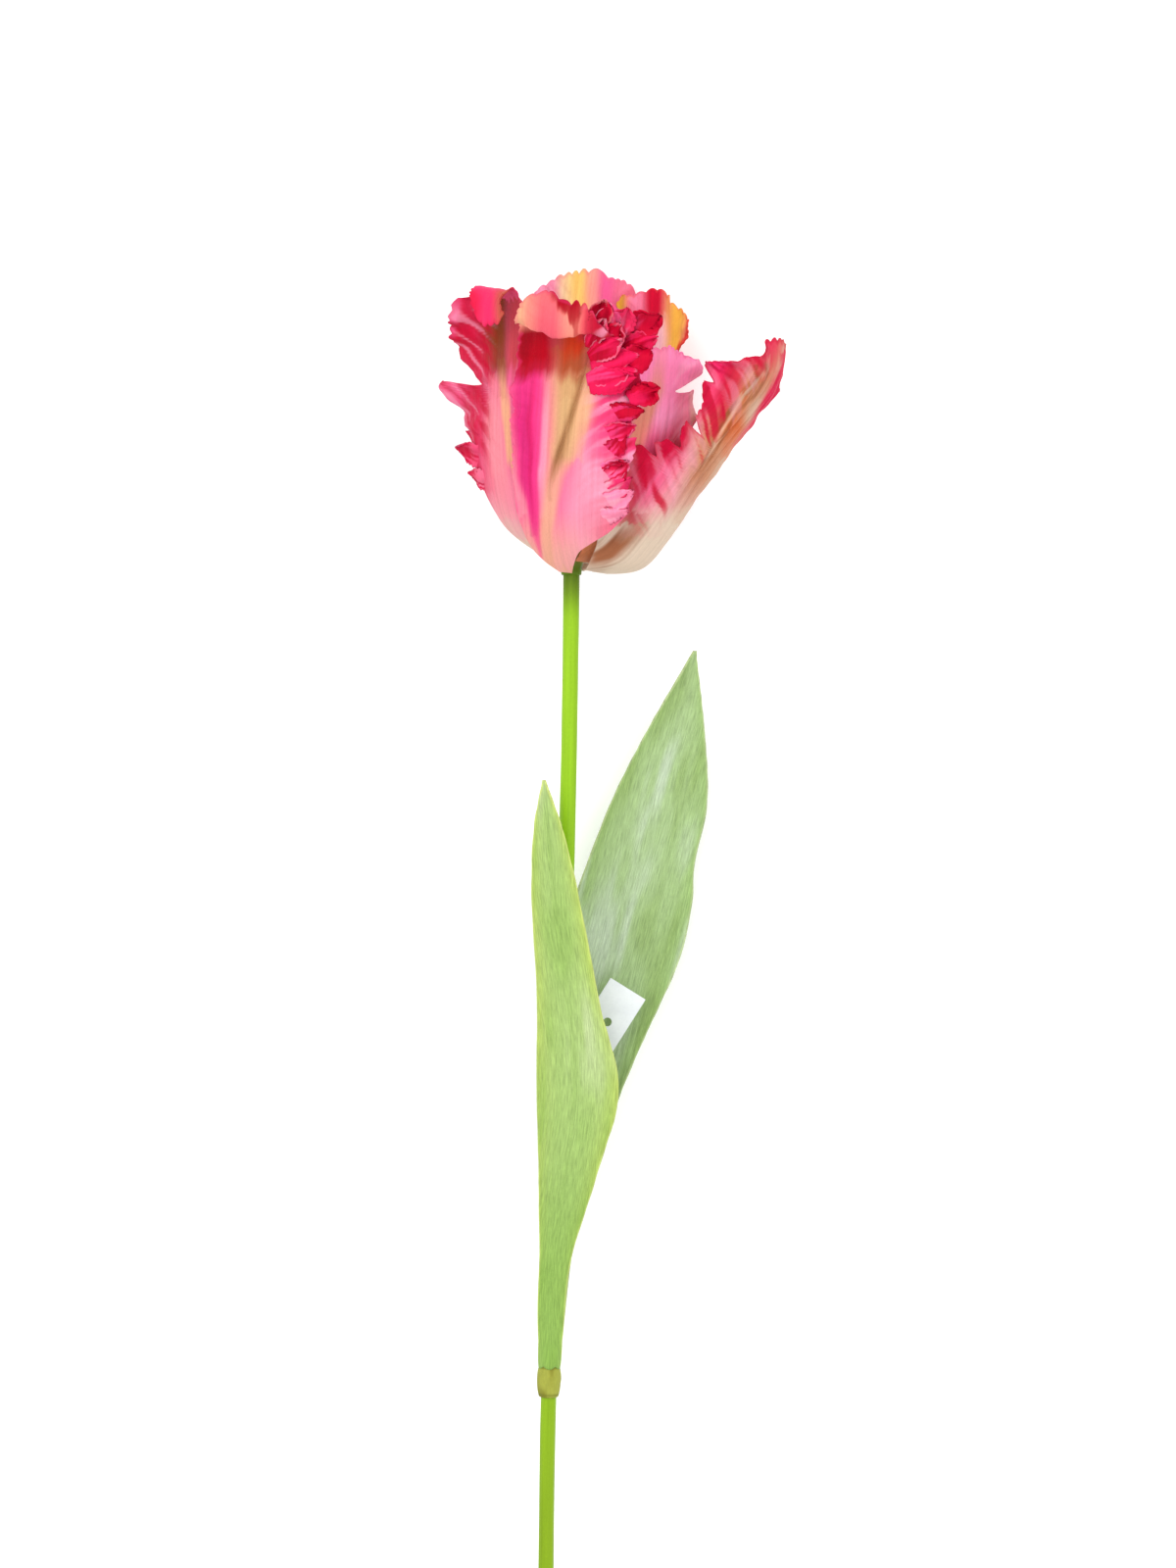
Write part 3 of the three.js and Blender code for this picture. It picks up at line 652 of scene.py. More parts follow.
# %% [markdown]
# ## The print
# The satin is printed before it is cut, with an airbrush look: a pale claw, flames of magenta and
# crimson that run up the petal, a beige-green rib. It could be painted by hand in Vertex Paint,
# but a list of washes can be moved and run again. Each wash is a soft band with its own course,
# given as stops of height up the flower, place to the side, half-width and strength. Washes go on
# in order, one over another. Their ends are combed by noise that is fine across the petal and long
# along it, which is how dye bleeds on threads.
# A few washes are painted shadow, shade and highlight rather than print; each is marked where it is
# listed.

# %% Airbrush
FLAME_RED, FLAME_PALE = (206, 8, 64), (253, 178, 206)


def wash(colour, *stops, soft=0.65, span=(-1, 2)):
    return dict(colour=tint(*colour), stops=np.array(stops, float), soft=soft, span=span)


def airbrush(petal, spots, across, along, share):
    """The colour at every point: ground dye, washes, barbs and flames; some washes are painted
    shade.
    """
    seed = petal["seed"]
    dye_and_shading = np.tile(tint(*petal["base"]), (len(share), 1))
    comb = mottle(across / 1.1, along / 60, seed) + 0.4 * mottle(across / 0.5, along / 40, seed + 1)
    height = spots[:, 1] + 1.3 * comb
    aside = spots[:, 0] + 0.5 * mottle(along / 9, across / 6, seed + 2) + 0.12 * comb
    for coat in petal["washes"]:
        place, middle, half, strength = coat["stops"].T
        order = np.argsort(place)
        read = lambda values: np.interp(height, place[order], values[order])
        away = np.abs(aside - read(middle)) / np.maximum(read(half), 0.05)
        cover = 1 - smooth(away, 1 - coat["soft"], 1 + coat["soft"])
        cover = cover * read(strength)
        cover = cover * (height >= place[order][0] - 4) * (height <= place[order][-1] + 4)
        start, end = coat["span"]
        cover = cover * smooth(share, start - 0.02, start + 0.02)
        cover = cover * (1 - smooth(share, end, end + 0.03))
        dye_and_shading = mix(dye_and_shading, coat["colour"], np.clip(cover, 0, 1)[:, None])
    rise = along - 0.8 * np.abs(across) + 1.2 * mottle(across / 5, along / 12, seed + 3)
    barbs = np.abs(np.sin(math.pi * rise / 4.3)) ** 10
    barbs = barbs * smooth(np.abs(across), 3, 12) * smooth(share, 0.15, 0.4)
    barbs = barbs * (0.5 + 0.5 * mottle(rise / 6, across / 8, seed + 4))
    dye_and_shading = dye_and_shading * (1 - 0.2 * barbs[:, None] * np.array([0.35, 1, 0.8]))
    flow = mottle(rise / 2.8, across / 12, seed + 6)
    flow = flow + 0.5 * mottle(rise / 1.2, across / 7, seed + 7)
    for side, start, end, red, pale, low in petal["flames"]:  # dye that has run along the barbs
        margin = smooth(side * across, start, end) * smooth(share, low, low + 0.15)
        dye_and_shading = mix(dye_and_shading, tint(*FLAME_RED), (red * margin * smooth(flow, 0.1, 0.6))[:, None])
        dye_and_shading = mix(dye_and_shading, tint(*FLAME_PALE), (pale * margin * smooth(-flow, 0.15, 0.7))[:, None])
    return dye_and_shading


def rim_dye(dye_and_shading, edge, colour, width, strength):
    """Dye that has gathered along the cut edge."""
    cover = strength * (1 - smooth(edge, width * 0.3, width))
    return mix(dye_and_shading, tint(*colour), cover[:, None])


one = wash((200, 12, 58), (0, 0, 5, 1), (60, 2, 8, 1))
print("a wash runs from", one["stops"][0, 0], "to", one["stops"][-1, 0], "mm up the flower")

# %% [markdown]
# ## A petal and its feathers
# A petal is one cut sheet. Beside the edge of a slashed one, narrow feathers lie over one another
# like shingles. They could be pulled out of the petal's own grid, but that would stretch its
# faces, so each feather is a small sheet of its own, pressed by the same function, whose foot comes
# up out of the petal. Where a real petal crumples into a bunch, the same small sheets are folded
# harder and set at different headings.

# %% The petal's own sheet
PETAL_GRID = (130, 170)  # faces across a petal and along it
CLAW_END, FAR_FROM_EDGE = 0.25, 20


def petal_shape(petal):
    def shape(u, v):
        across, along, edge = cut(petal, u, v)
        spots = press(petal, across, along)
        share = along / course_of(petal)[1]
        # petals in shade get their dye multiplied by a gain above one: painted light
        dye_and_shading = airbrush(petal, spots, across, along, share) * petal.get("painted_light_gain", 1)
        edge = np.where(share > CLAW_END, edge, FAR_FROM_EDGE)  # no rim is dyed round the claw
        ragged = np.maximum(edge + 0.8 * mottle(along / 3, across / 3, petal["seed"] + 9), 0)
        for colour, width, strength in petal["rims"]:
            dye_and_shading = rim_dye(dye_and_shading, ragged, colour, width, strength)
        return spots, dye_and_shading, np.column_stack([across, along, edge])
    return shape


print("a petal's sheet has", math.prod(PETAL_GRID), "faces")

# %% Feathers and folded frills
FEATHER_GRID, FRILL_GRID = (22, 26), (24, 24)
FEATHER_PITCH = 1.9  # from tooth to tooth
FOLDED = dict(crumple=0.9, blunt=1)  # what makes a frill of a feather


def tongue_shape(petal, root, heading, size, lift, colours, seed, crumple=0.26, blunt=0):
    """A small feather of the same cloth that lies over its petal, free at its far end."""
    turn = math.radians(heading)
    length, width = size
    sides = [
        (0, 0.6), (0.35, 0.9), (0.7, mix(0.8, 1, blunt)), (0.9, mix(0.5, 0.8, blunt)), (1, 0.3),
    ]

    def shape(s, t):
        fringe = teeth(t * length, FEATHER_PITCH, 1, seed)
        sideways = s * between(sides, t) * (width / 2 + 0.55 * fringe)
        onward = t * length - 0.18 * length * s * s * t
        onward = onward + 0.9 * t * teeth(s * width + 20, FEATHER_PITCH, 1, seed + 1)
        across = root[0] + onward * math.sin(turn) + sideways * math.cos(turn)
        along = root[1] + onward * math.cos(turn) - sideways * math.sin(turn)
        fold = np.sin(4.2 * s + 2.4 * mottle(s * 1.5 + 9, t * 2, seed + 2) + seed)
        wavy = t * (crumple * fold + 0.5 * mottle(s * 2, t * 3, seed))
        cupped = 0.6 * t * s * s * np.sin(seed * 1.7)
        rooted = (1 - smooth(t, 0, 0.45)) * (0.7 + 1.3 * s * s)  # the foot comes out of the petal
        raised = lift[0] * smooth(t, 0, 0.4) + lift[1] * t * t + wavy + cupped - rooted
        spots = press(petal, across, along, raised)
        inner, outer, rim = (tint(*colour) for colour in colours)
        reach = t + 0.5 * mottle(s * 5 + 9, 0.7 + t, seed + 3)
        dye_and_shading = mix(inner, outer, smooth(reach, 0.15, 0.65)[:, None])
        # lighter where each fold rises and darker where it sinks: painted light on the crests,
        # painted shade in the hollows
        dye_and_shading = dye_and_shading * mix(0.86, 1.12, (0.5 + 0.5 * fold * smooth(t, 0, 0.4))[:, None])
        edge = np.minimum((1 - np.abs(s)) * width / 2, (1 - t) * length)
        # the cut edge's colour; where it is a light pink it is partly painted highlight on the
        # frill's top edge
        dye_and_shading = mix(dye_and_shading, rim, (0.7 * (1 - smooth(edge, 0.05, 0.5)))[:, None])
        return spots, dye_and_shading, np.column_stack([across, along, edge])
    return shape


print("a feather has", math.prod(FEATHER_GRID), "faces, a frill", math.prod(FRILL_GRID))

# %% A finished petal
SATIN_THICKNESS = 0.42


def make_petal(name, petal, grid=PETAL_GRID, under_frills=None):
    bm = new_sheet_mesh()
    lay(bm, *grid, petal_shape(petal))
    for tongue in petal.get("tongues", ()):
        lay(bm, *FEATHER_GRID, tongue_shape(petal, *tongue))
    for frill in petal.get("frills", ()):
        lay(bm, *FRILL_GRID, tongue_shape(under_frills, *frill, **FOLDED))
    piece = as_piece(bm, name + "_satin", "petal", satin, name)
    thicken(piece, SATIN_THICKNESS)


print("satin is", SATIN_THICKNESS, "mm thick")

# %% [markdown]
# ## Front petal: form
# It faces the viewer, and its tip folds out and over into a lip. Its right margin is slashed into
# feathers. Every petal is described in the same words. `spine` is the midrib's side view, `left`
# and `right` are half-widths, `lobes` swell or pinch them and `slits` are wedges out of the edge.
# `up` and `tip` slant the rows, `round` and `flare` bend the two sides, `tucks` pass a margin over
# a neighbour or under it, and `creases` are pressed lines. Stops like these are quick to change;
# a sculpted petal would be closer to one real flower and much harder to correct.

# %% Front petal: form
CRIMSON, MAGENTA, HOT_PINK = (200, 12, 58), (222, 50, 130), (247, 75, 135)
RUBY, WINE = (242, 38, 100), (212, 4, 62)
PINK, PALE_PINK, CREAM = (248, 120, 160), (250, 170, 192), (228, 208, 186)
BEIGE, OLIVE, TAN = (222, 180, 132), (150, 72, 36), (212, 150, 115)

FRONT = dict(
    azimuth=103,
    spine=cup_spine(-1.4, 1, 6, [
        (1.04, 0.69), (1.1, 0.75), (1.19, 0.775), (1.3, 0.755), (1.37, 0.79), (1.37, 0.85),
        (1.31, 0.905),
    ]),
    left=[(0, 2.2), (0.05, 6), (0.1, 9.4), (0.25, 15), (0.5, 17), (0.75, 17), (0.9, 16), (1, 13)],
    right=[(0, 1.8), (0.05, 3.4), (0.1, 5.6), (0.15, 9.5), (0.2, 14), (0.27, 19), (0.45, 20.5),
           (0.7, 20), (0.9, 14), (1, 9)],
    left_lobes=[(0, 1), (0.5, 1), (0.62, 1.05), (0.7, 0.96), (0.85, 1.02), (1, 1)],
    right_lobes=[(0.1, 1), (0.24, 1.08), (0.32, 0.96), (0.44, 1.1), (0.52, 1), (0.66, 1.14),
                 (0.76, 1), (1, 1)],
    slits=[(1, 0.34, 3, 0.012), (1, 0.45, 3, 0.01), (1, 0.58, 3, 0.012), (1, 0.8, 5, 0.02)],
    up=7, tip=-3, flare=(0, 1.5), round=(0, 0), bow=4, slant=-5, seed=11,
    tucks=[(1, 5, -5, 0.3, 0.55), (1, 6, -1.4, 2, 3)],
    hem=[(-20, 2), (-14, 1), (-8, -0.6), (-3, -1.8), (3, -0.8), (9, 1.2), (15, 2), (26, 2)],
    teeth=0.7, toothed=(0.22, 0.34), tip_teeth=1.2, ruffle=(15, 0.9), tip_ruffle=0.8,
    creases=[
        ([(0.2, -4), (0.36, -2.5), (0.5, 1.5), (0.66, 5.5), (0.75, 7)], 1.3, 0.8, 0.3, 0.78),
        ([(0.3, 6), (0.5, 11), (0.7, 13)], 0.7, 1.6, 0.25, 0.8),
        ([(0.1, -3), (0.3, -7), (0.6, -7.5), (1, -6)], 0.5, 1.6, 0.1, 0.8),
    ],
)
print("front petal:", round(course_of(FRONT)[1], 1), "mm from claw to tip")

# %% [markdown]
# ## Front petal: print
# A magenta stripe runs up the left, a beige-green rib up the middle, and deep red lies under the
# tip. The lip is peach with a crimson wedge. The stripes could be one colour ramp across the
# petal, but on the real cloth each stripe has its own course, so each is its own wash. `span`
# keeps a wash to a part of the petal's length, which is how the lip gets colours of its own.

# %% Front petal: print
FRONT.update(
    base=PINK,
    washes=[
        wash((243, 185, 165), (-5, 0, 40, 1), (6, 0, 40, 0.8), (18, 0, 40, 0)),
        wash(PALE_PINK, (5, 8, 9, 0.5), (18, 6, 8, 0.8), (32, 7, 6, 0.8), (42, 5, 4, 0.2)),
        wash((240, 110, 140), (12, 14, 6, 0.6), (20, 16, 3, 0.3)),
        # dark crimson down the right margin: partly the print's crimson edge, partly painted shade
        # of the gap beside the open petal
        wash((206, 10, 64), (17, 20, 1, 0.3), (20, 19, 1.8, 0.9), (31, 19.5, 2, 0.9),
             (36, 20.5, 2, 0.9), (56, 21, 2.4, 0.9)),
        wash(HOT_PINK, (26, 15, 6, 0), (34, 14, 7, 0.8), (50, 13, 8, 0.9), (60, 14, 9, 0.6)),
        wash((247, 160, 172), (20, -15, 1.5, 0.6), (35, -18.5, 1.6, 0.8), (55, -20, 1.5, 0.5)),
        wash((243, 72, 145), (5, -9.2, 0.5, 0.6), (14, -10.5, 1.8, 0.9), (22, -11.5, 2.6, 1),
             (33, -12.8, 3.8, 1), (45, -13.2, 4.4, 1), (58, -13, 5, 1), (64, -12.6, 5, 0.5)),
        wash(MAGENTA, (14, -11, 1, 0.4), (28, -13.4, 1.8, 0.8), (46, -14.5, 2.2, 0.8),
             (58, -15, 2, 0.3)),
        wash((214, 34, 104), (18, -11.4, 0.4, 0.2), (30, -12.4, 0.6, 0.6), (44, -12.6, 0.8, 0.6),
             (56, -11.6, 0.8, 0.3)),
        wash((252, 170, 196), (20, -8.2, 0.8, 0.3), (30, -8.6, 1, 0.8), (46, -8, 1, 0.6),
             (56, -7.4, 0.8, 0.2)),
        wash((240, 178, 152), (2, -6.5, 1.6, 0.8), (12, -7.2, 1.7, 0.9), (20, -6.2, 2, 0.9),
             (28, -5, 2.6, 0.8), (34, -4, 3, 0.3)),
        wash(BEIGE, (27, -5, 2, 0), (34, -2.6, 4, 0.9), (46, -0.6, 5.6, 1), (56, 0.4, 6.4, 1),
             (62, 0, 6, 0.6)),
        wash((243, 188, 150), (36, 1.4, 2, 0.3), (46, 3.2, 2.2, 0.8), (56, 5.2, 2.4, 0.8)),
        # a darker olive line beside the midrib's crease: painted shade in the crease
        wash((172, 124, 82), (25, -6.4, 0.8, 0.2), (33, -3.8, 1.6, 0.7), (42, -1.4, 1.3, 0.5),
             (54, 2.4, 1.2, 0.5)),
        wash((190, 0, 40), (56, -11, 7, 0), (59.5, -11, 7.5, 0.9), (63, -11, 8.5, 1),
             (86, -11, 9, 1), span=(-1, 0.83)),
        wash((160, 0, 36), (62, -14, 1, 0), (66, -14, 2, 0.6), (74, -13, 3, 0.7), (86, -12, 3, 0.7),
             span=(-1, 0.83)),
        wash(CRIMSON, (50, 17, 5, 0), (57, 14, 6, 0.8), (64, 12, 7, 0.7), (72, 12, 9, 0.9),
             (82, 12, 9, 0.9)),
        wash((176, 84, 36), (55, 0.4, 4.4, 0.1), (60, 0.8, 4.9, 0.9), (66, 0.8, 5, 0.9),
             (71, 1.4, 4.8, 0.9)),
        wash((214, 66, 26), (61, -1, 1.4, 0.1), (66, 0.6, 3, 0.8), (70, 2.4, 4.4, 0.9),
             (78, 2.4, 4.6, 0.9)),
        wash((252, 158, 142), (66, 0, 60, 1), (95, 0, 60, 1), span=(0.82, 1.1)),
        wash((240, 190, 150), (70, -16.5, 2.4, 0.8), (90, -16.5, 2.4, 0.8), span=(0.84, 1.1)),
        wash((240, 100, 124), (70, -7, 4, 0.9), (76, -7, 4, 0.8), (90, -7, 4, 0.5),
             span=(0.82, 1.1)),
        wash((236, 60, 100), (66, 7, 4, 0.9), (80, 7, 4, 0.9), span=(0.78, 1.1)),
        wash((186, 4, 42), (72, 1.5, 0.6, 0.6), (74.5, 0.8, 2, 0.9), (79, -0.8, 4.2, 1),
             (84, -1.6, 5.8, 1), (95, -1.6, 6, 1), span=(0.85, 1.1), soft=0.4),
        wash(CRIMSON, (70, 10, 5, 0.9), (90, 10, 5, 1), span=(0.86, 1.1)),
    ],
    flames=[(1, 4, 14, 0.2, 0.6, 0.1), (1, 13, 20, 0.8, 0.5, 0.32)],
    rims=[(HOT_PINK, 1.2, 0.3)],
)
print("front petal:", len(FRONT["washes"]), "washes")

# %% [markdown]
# ## Front petal: feathers and cluster
# Down the right margin the feathers lie like shingles, crimson near the top and pale lower down.
# Beside the lip the cloth is crumpled into a bunch of crimson folds. A cloth simulation might
# crumple a sheet, but not into this bunch, so thirteen folded frills are listed one by one. They
# are pressed on a petal a little further out and without the lip, so that they stand in front.

# %% Front petal: feathers and cluster
FRONT.update(
    tongues=[
        # (across, along), heading from the tip, (length, width), (lift, rise), colours, seed
        ((11, 28), 60, (10, 5), (0.4, 0.5), (PALE_PINK, (252, 150, 180), (200, 30, 80)), 21),
        ((12, 32), 56, (11, 6), (0.4, 0.6), (PALE_PINK, (253, 150, 184), (206, 40, 90)), 22),
        ((13, 35), 50, (10, 6), (0.3, 0.6), (PALE_PINK, (236, 60, 116), (190, 10, 64)), 36),
        ((14, 39), 40, (8, 6), (0.3, 0.6), (PINK, (214, 20, 76), (188, 6, 56)), 23),
        ((12, 40), 52, (10, 6.5), (0.4, 0.8),
         ((250, 110, 160), (206, 10, 66), (252, 150, 190)), 24),
        ((14, 46), 34, (9, 6), (0.4, 0.7), (HOT_PINK, (200, 8, 60), (186, 4, 54)), 25),
        ((12, 51), 58, (12, 7), (0.4, 0.9), (HOT_PINK, (214, 20, 76), (250, 120, 160)), 37),
        ((14, 58), 50, (12, 8), (0.5, 1.0), ((246, 70, 130), (206, 8, 60), (186, 4, 50)), 26),
    ],
    # a frill's third colour is its cut edge; the light pinks are partly painted highlight
    frills=[
        ((20, 66), 62, (9, 6), (1.0, 1.2), (RUBY, WINE, WINE), 27),
        ((8, 68.5), 74, (13, 7), (0.8, 1.2), (RUBY, (236, 36, 96), RUBY), 38),
        ((7, 70.5), 76, (14, 6), (1.0, 1.4), (HOT_PINK, (240, 30, 96), (252, 130, 168)), 28),
        ((8, 74), 72, (13, 6), (1.2, 1.6), ((240, 44, 104), RUBY, (250, 110, 150)), 33),
        ((17, 74), 50, (9, 8), (1.4, 1.6), (RUBY, WINE, WINE), 39),
        ((17, 79), 62, (9, 7), (1.4, 1.8), (WINE, RUBY, (240, 80, 120)), 40),
        ((7, 77), 64, (10, 7), (1.6, 2.2), (WINE, RUBY, (252, 160, 186)), 29),
        ((11, 79), 30, (8, 7), (1.8, 2.2), (RUBY, WINE, (250, 130, 160)), 41),
        ((6.5, 80), 30, (8, 6), (2.2, 2.4), (WINE, RUBY, (252, 170, 190)), 42),
        ((14, 82), 16, (9, 8), (1.6, 2.2), ((246, 120, 160), (240, 60, 110), WINE), 43),
        ((18, 83), 40, (9, 8), (1.4, 2.0), ((240, 70, 120), WINE, WINE), 31),
        ((12, 84), -6, (8, 7), (2.0, 2.0), ((248, 130, 170), (236, 90, 140), (250, 170, 195)), 44),
        ((8, 84), 12, (9, 7), (2.8, 2.4), ((214, 20, 66), (206, 16, 62), (252, 150, 160)), 30),
    ],
)
UNDER_FRILLS = dict(FRONT, spine=cup_spine(-3.4, 1), course=None, bow=0)
make_petal("petal_front", FRONT, (150, 190), under_frills=UNDER_FRILLS)

# %% [markdown]
# ## Left petal
# An inner petal that shows its outside. Two long lobes stand up at the left, its tip rolls
# outwards, and a dark olive rib runs up to the roll. A spine that turns over at its end makes the
# roll, and `left_lobes` with two slits make the lobes. Two feathers hide where the lobes part.

# %% Left petal
LEFT = dict(
    azimuth=138,
    spine=cup_spine(RING_STEP, 1, 6, [
        (0.94, 0.72), (0.98, 0.82), (1.06, 0.88), (1.18, 0.89), (1.27, 0.84), (1.26, 0.76),
    ]),
    left=[(0, 3), (0.12, 12), (0.3, 22), (0.5, 28), (0.75, 21), (0.86, 13), (0.94, 10), (1, 8)],
    right=[(0, 3), (0.12, 9), (0.3, 16), (0.5, 18), (0.66, 15), (0.76, 8), (0.84, 3.6), (0.92, 3.4),
           (1, 3)],
    left_lobes=[(0, 1), (0.27, 1), (0.32, 1.1), (0.37, 0.96), (0.45, 1.34), (0.5, 1.36),
                (0.555, 0.82), (0.6, 1.07), (0.66, 1.12), (0.72, 1.12), (0.78, 1.08), (0.83, 0.9),
                (0.9, 1), (1, 1)],
    right_lobes=[(0, 1), (1, 1)],
    slits=[(-1, 0.35, 5, 0.015), (-1, 0.4, 4, 0.012), (-1, 0.558, 6, 0.02)],
    flames=[(-1, 9, 17, 0.85, 0.45, 0.3)],
    up=6, tip=-3, flare=(9, 0), round=(60, 0), seed=51,
    teeth=0.7, toothed=(0.3, 0.4), tip_teeth=0.9, ruffle=(17, 1.5), tip_ruffle=0.5,
    creases=[
        ([(0, 0), (1, 0)], 0.7, 1.4, 0.1, 0.85),
        ([(0.2, -8), (0.5, -14), (1, -18)], 0.6, 1.0, 0.3, 0.9),
    ],
    base=(240, 100, 145),
    washes=[
        wash((235, 170, 175), (-5, 0, 60, 1), (18, 0, 60, 0.9), (30, 0, 60, 0)),
        wash(CREAM, (-5, 0, 60, 1), (8, 0, 60, 0.8), (18, 0, 60, 0)),
        wash((248, 130, 175), (14, -15, 3, 0.2), (24, -16, 3, 0.8), (40, -17, 3, 0.6),
             (58, -17, 3, 0.5)),
        wash((248, 158, 168), (20, -19, 4, 0.4), (30, -22, 3.4, 0.9), (46, -23.4, 3, 0.9),
             (56, -23, 2, 0.6)),
        wash((243, 185, 145), (26, -16, 0.8, 0.3), (34, -18.2, 1, 0.9), (48, -19.8, 1.1, 0.9),
             (60, -21, 1.2, 0.7)),
        wash((212, 30, 78), (20, -26, 1.5, 0.5), (28, -28, 2, 0.8), (36, -31, 3, 1),
             (46, -31, 3.6, 1), (56, -29, 3, 0.6)),
        wash((222, 60, 100), (28, -24.5, 1, 0.2), (38, -27, 1.2, 0.7), (50, -29, 1.6, 0.7)),
        wash((246, 110, 150), (52, -40, 5, 0.8), (64, -40, 5, 0.9)),
        wash((214, 16, 70), (56, -28, 3, 0.5), (64, -30, 5, 0.9), (70, -33, 6, 1),
             (80, -34, 6, 0.9)),
        wash((248, 110, 158), (68, -37, 1, 0), (74, -37, 1.6, 0.8), (82, -36, 2, 0.8)),
        wash((196, 40, 56), (56, -25, 1.5, 0), (64, -25, 2.2, 0.8), (74, -26.5, 2.2, 0.9)),
        wash(OLIVE, (56, -21, 1.2, 0.2), (62, -21.5, 2.6, 0.9), (70, -22, 3.4, 1),
             (78, -22.6, 3.6, 1)),
        wash((206, 80, 84), (56, -17, 2, 0), (64, -16.6, 2.2, 0.9), (78, -16.6, 2.2, 0.8)),
        wash((248, 62, 118), (70, 0, 90, 1), (95, 0, 90, 1), span=(0.88, 1.2)),
        wash((205, 110, 84), (70, -19, 3.4, 1), (95, -19, 3.4, 1), span=(0.88, 1.2)),
        wash((238, 40, 84), (70, -31, 3, 0.9), (95, -31, 3, 0.9), span=(0.9, 1.2)),
    ],
    rims=[((214, 34, 84), 1.2, 0.35)],
    tongues=[
        ((-16, 38), -74, (15, 8), (0.5, 0.9),
         ((236, 90, 130), (210, 24, 74), (240, 110, 150)), 61),
        ((-14, 31), -76, (13, 7), (0.5, 0.9),
         ((240, 120, 150), (212, 40, 84), (240, 130, 160)), 62),
    ],
)
make_petal("petal_left", LEFT)

# %% [markdown]
# ## Right petal
# An inner petal, light pink, that shows only between the front and the open petal. Its right side
# ends in a fan above a deep notch. One long slit in the cut makes the notch; cutting the mesh with
# a boolean would leave ragged faces there. A gain lightens its dye, as painted light, because it
# stands in shade.

# %% Right petal
RIGHT = dict(
    azimuth=50,
    spine=cup_spine(RING_STEP, 0.75),
    left=[(0, 3), (0.13, 9), (0.33, 15), (0.6, 18), (0.85, 17), (1, 12)],
    right=[(0, 3), (0.13, 9), (0.33, 17), (0.55, 21), (0.88, 20), (1, 14)],
    left_lobes=[(0, 1), (0.5, 1), (0.7, 1.1), (0.8, 0.9), (1, 1)],
    right_lobes=[(0, 1), (0.48, 1), (0.58, 1), (0.66, 1.03), (0.72, 0.95), (0.8, 0.98), (0.86, 1.1),
                 (0.93, 1.14), (1, 1)],
    slits=[(1, 0.833, 14, 0.026)],
    # the gain of 1.16 lightens the dye: painted light for the shade this petal stands in
    painted_light_gain=1.16, flames=[(1, 2, 14, 0.12, 0.5, 0.3)],
    up=9, tip=1, flare=(0, 3), round=(0, 0), seed=71,
    teeth=0.5, toothed=(0.4, 0.6), tip_teeth=1.2, ruffle=(18, 0.8), tip_ruffle=0.8,
    creases=[([(0, 0), (1, 0)], 0.6, 1.4, 0.1, 0.9)],
    # a lighter pink than the print, partly painted light for the shade the petal stands in
    base=(255, 150, 196),
    washes=[
        wash((236, 160, 170), (0, 20, 40, 1), (24, 20, 40, 0.8), (36, 20, 40, 0)),
        # brown on the claw: painted shadow, in the colour of the shaded claw beside it
        wash((226, 150, 96), (-4, 6, 9, 0.9), (11, 8, 9, 0.9), (16, 8, 9, 0)),
        # a lighter pink over the lower middle: painted light where the petal is in shade
        wash((255, 176, 214), (36, 32, 10, 0), (44, 32, 10, 0.8), (58, 33, 10, 0)),
        wash((220, 150, 118), (28, 17, 3, 0.9), (44, 21, 3, 0.9), (54, 25.5, 2.6, 0.8),
             (64, 27.5, 2, 0.3)),
        wash((252, 160, 182), (36, 36, 3, 0.7), (54, 36, 3, 0.7)),
        wash((236, 190, 186), (50, 37.4, 1.2, 0.9), (60, 37.4, 1.4, 0.9)),
        wash((226, 30, 90), (28, 27, 8, 0.8), (38, 29, 7, 0.7), (46, 28, 6, 0)),
        wash((255, 150, 196), (54, 36, 7, 0.3), (60, 38, 8, 0.9), (80, 38, 8, 0.9)),
    ],
    rims=[((240, 90, 140), 1.2, 0.3)],
)
make_petal("petal_right", RIGHT)

# %% [markdown]
# ## Open petal
# The petal that has swung out. Its back shows a tan rib between crimson margins, with creases
# that run its length. `leans` turns its roll square to its own midrib, since it no longer follows
# the cup, and a tuck keeps its left margin under the front petal. Turning an upright petal out
# would have been simpler, but the real one also bends as it opens.

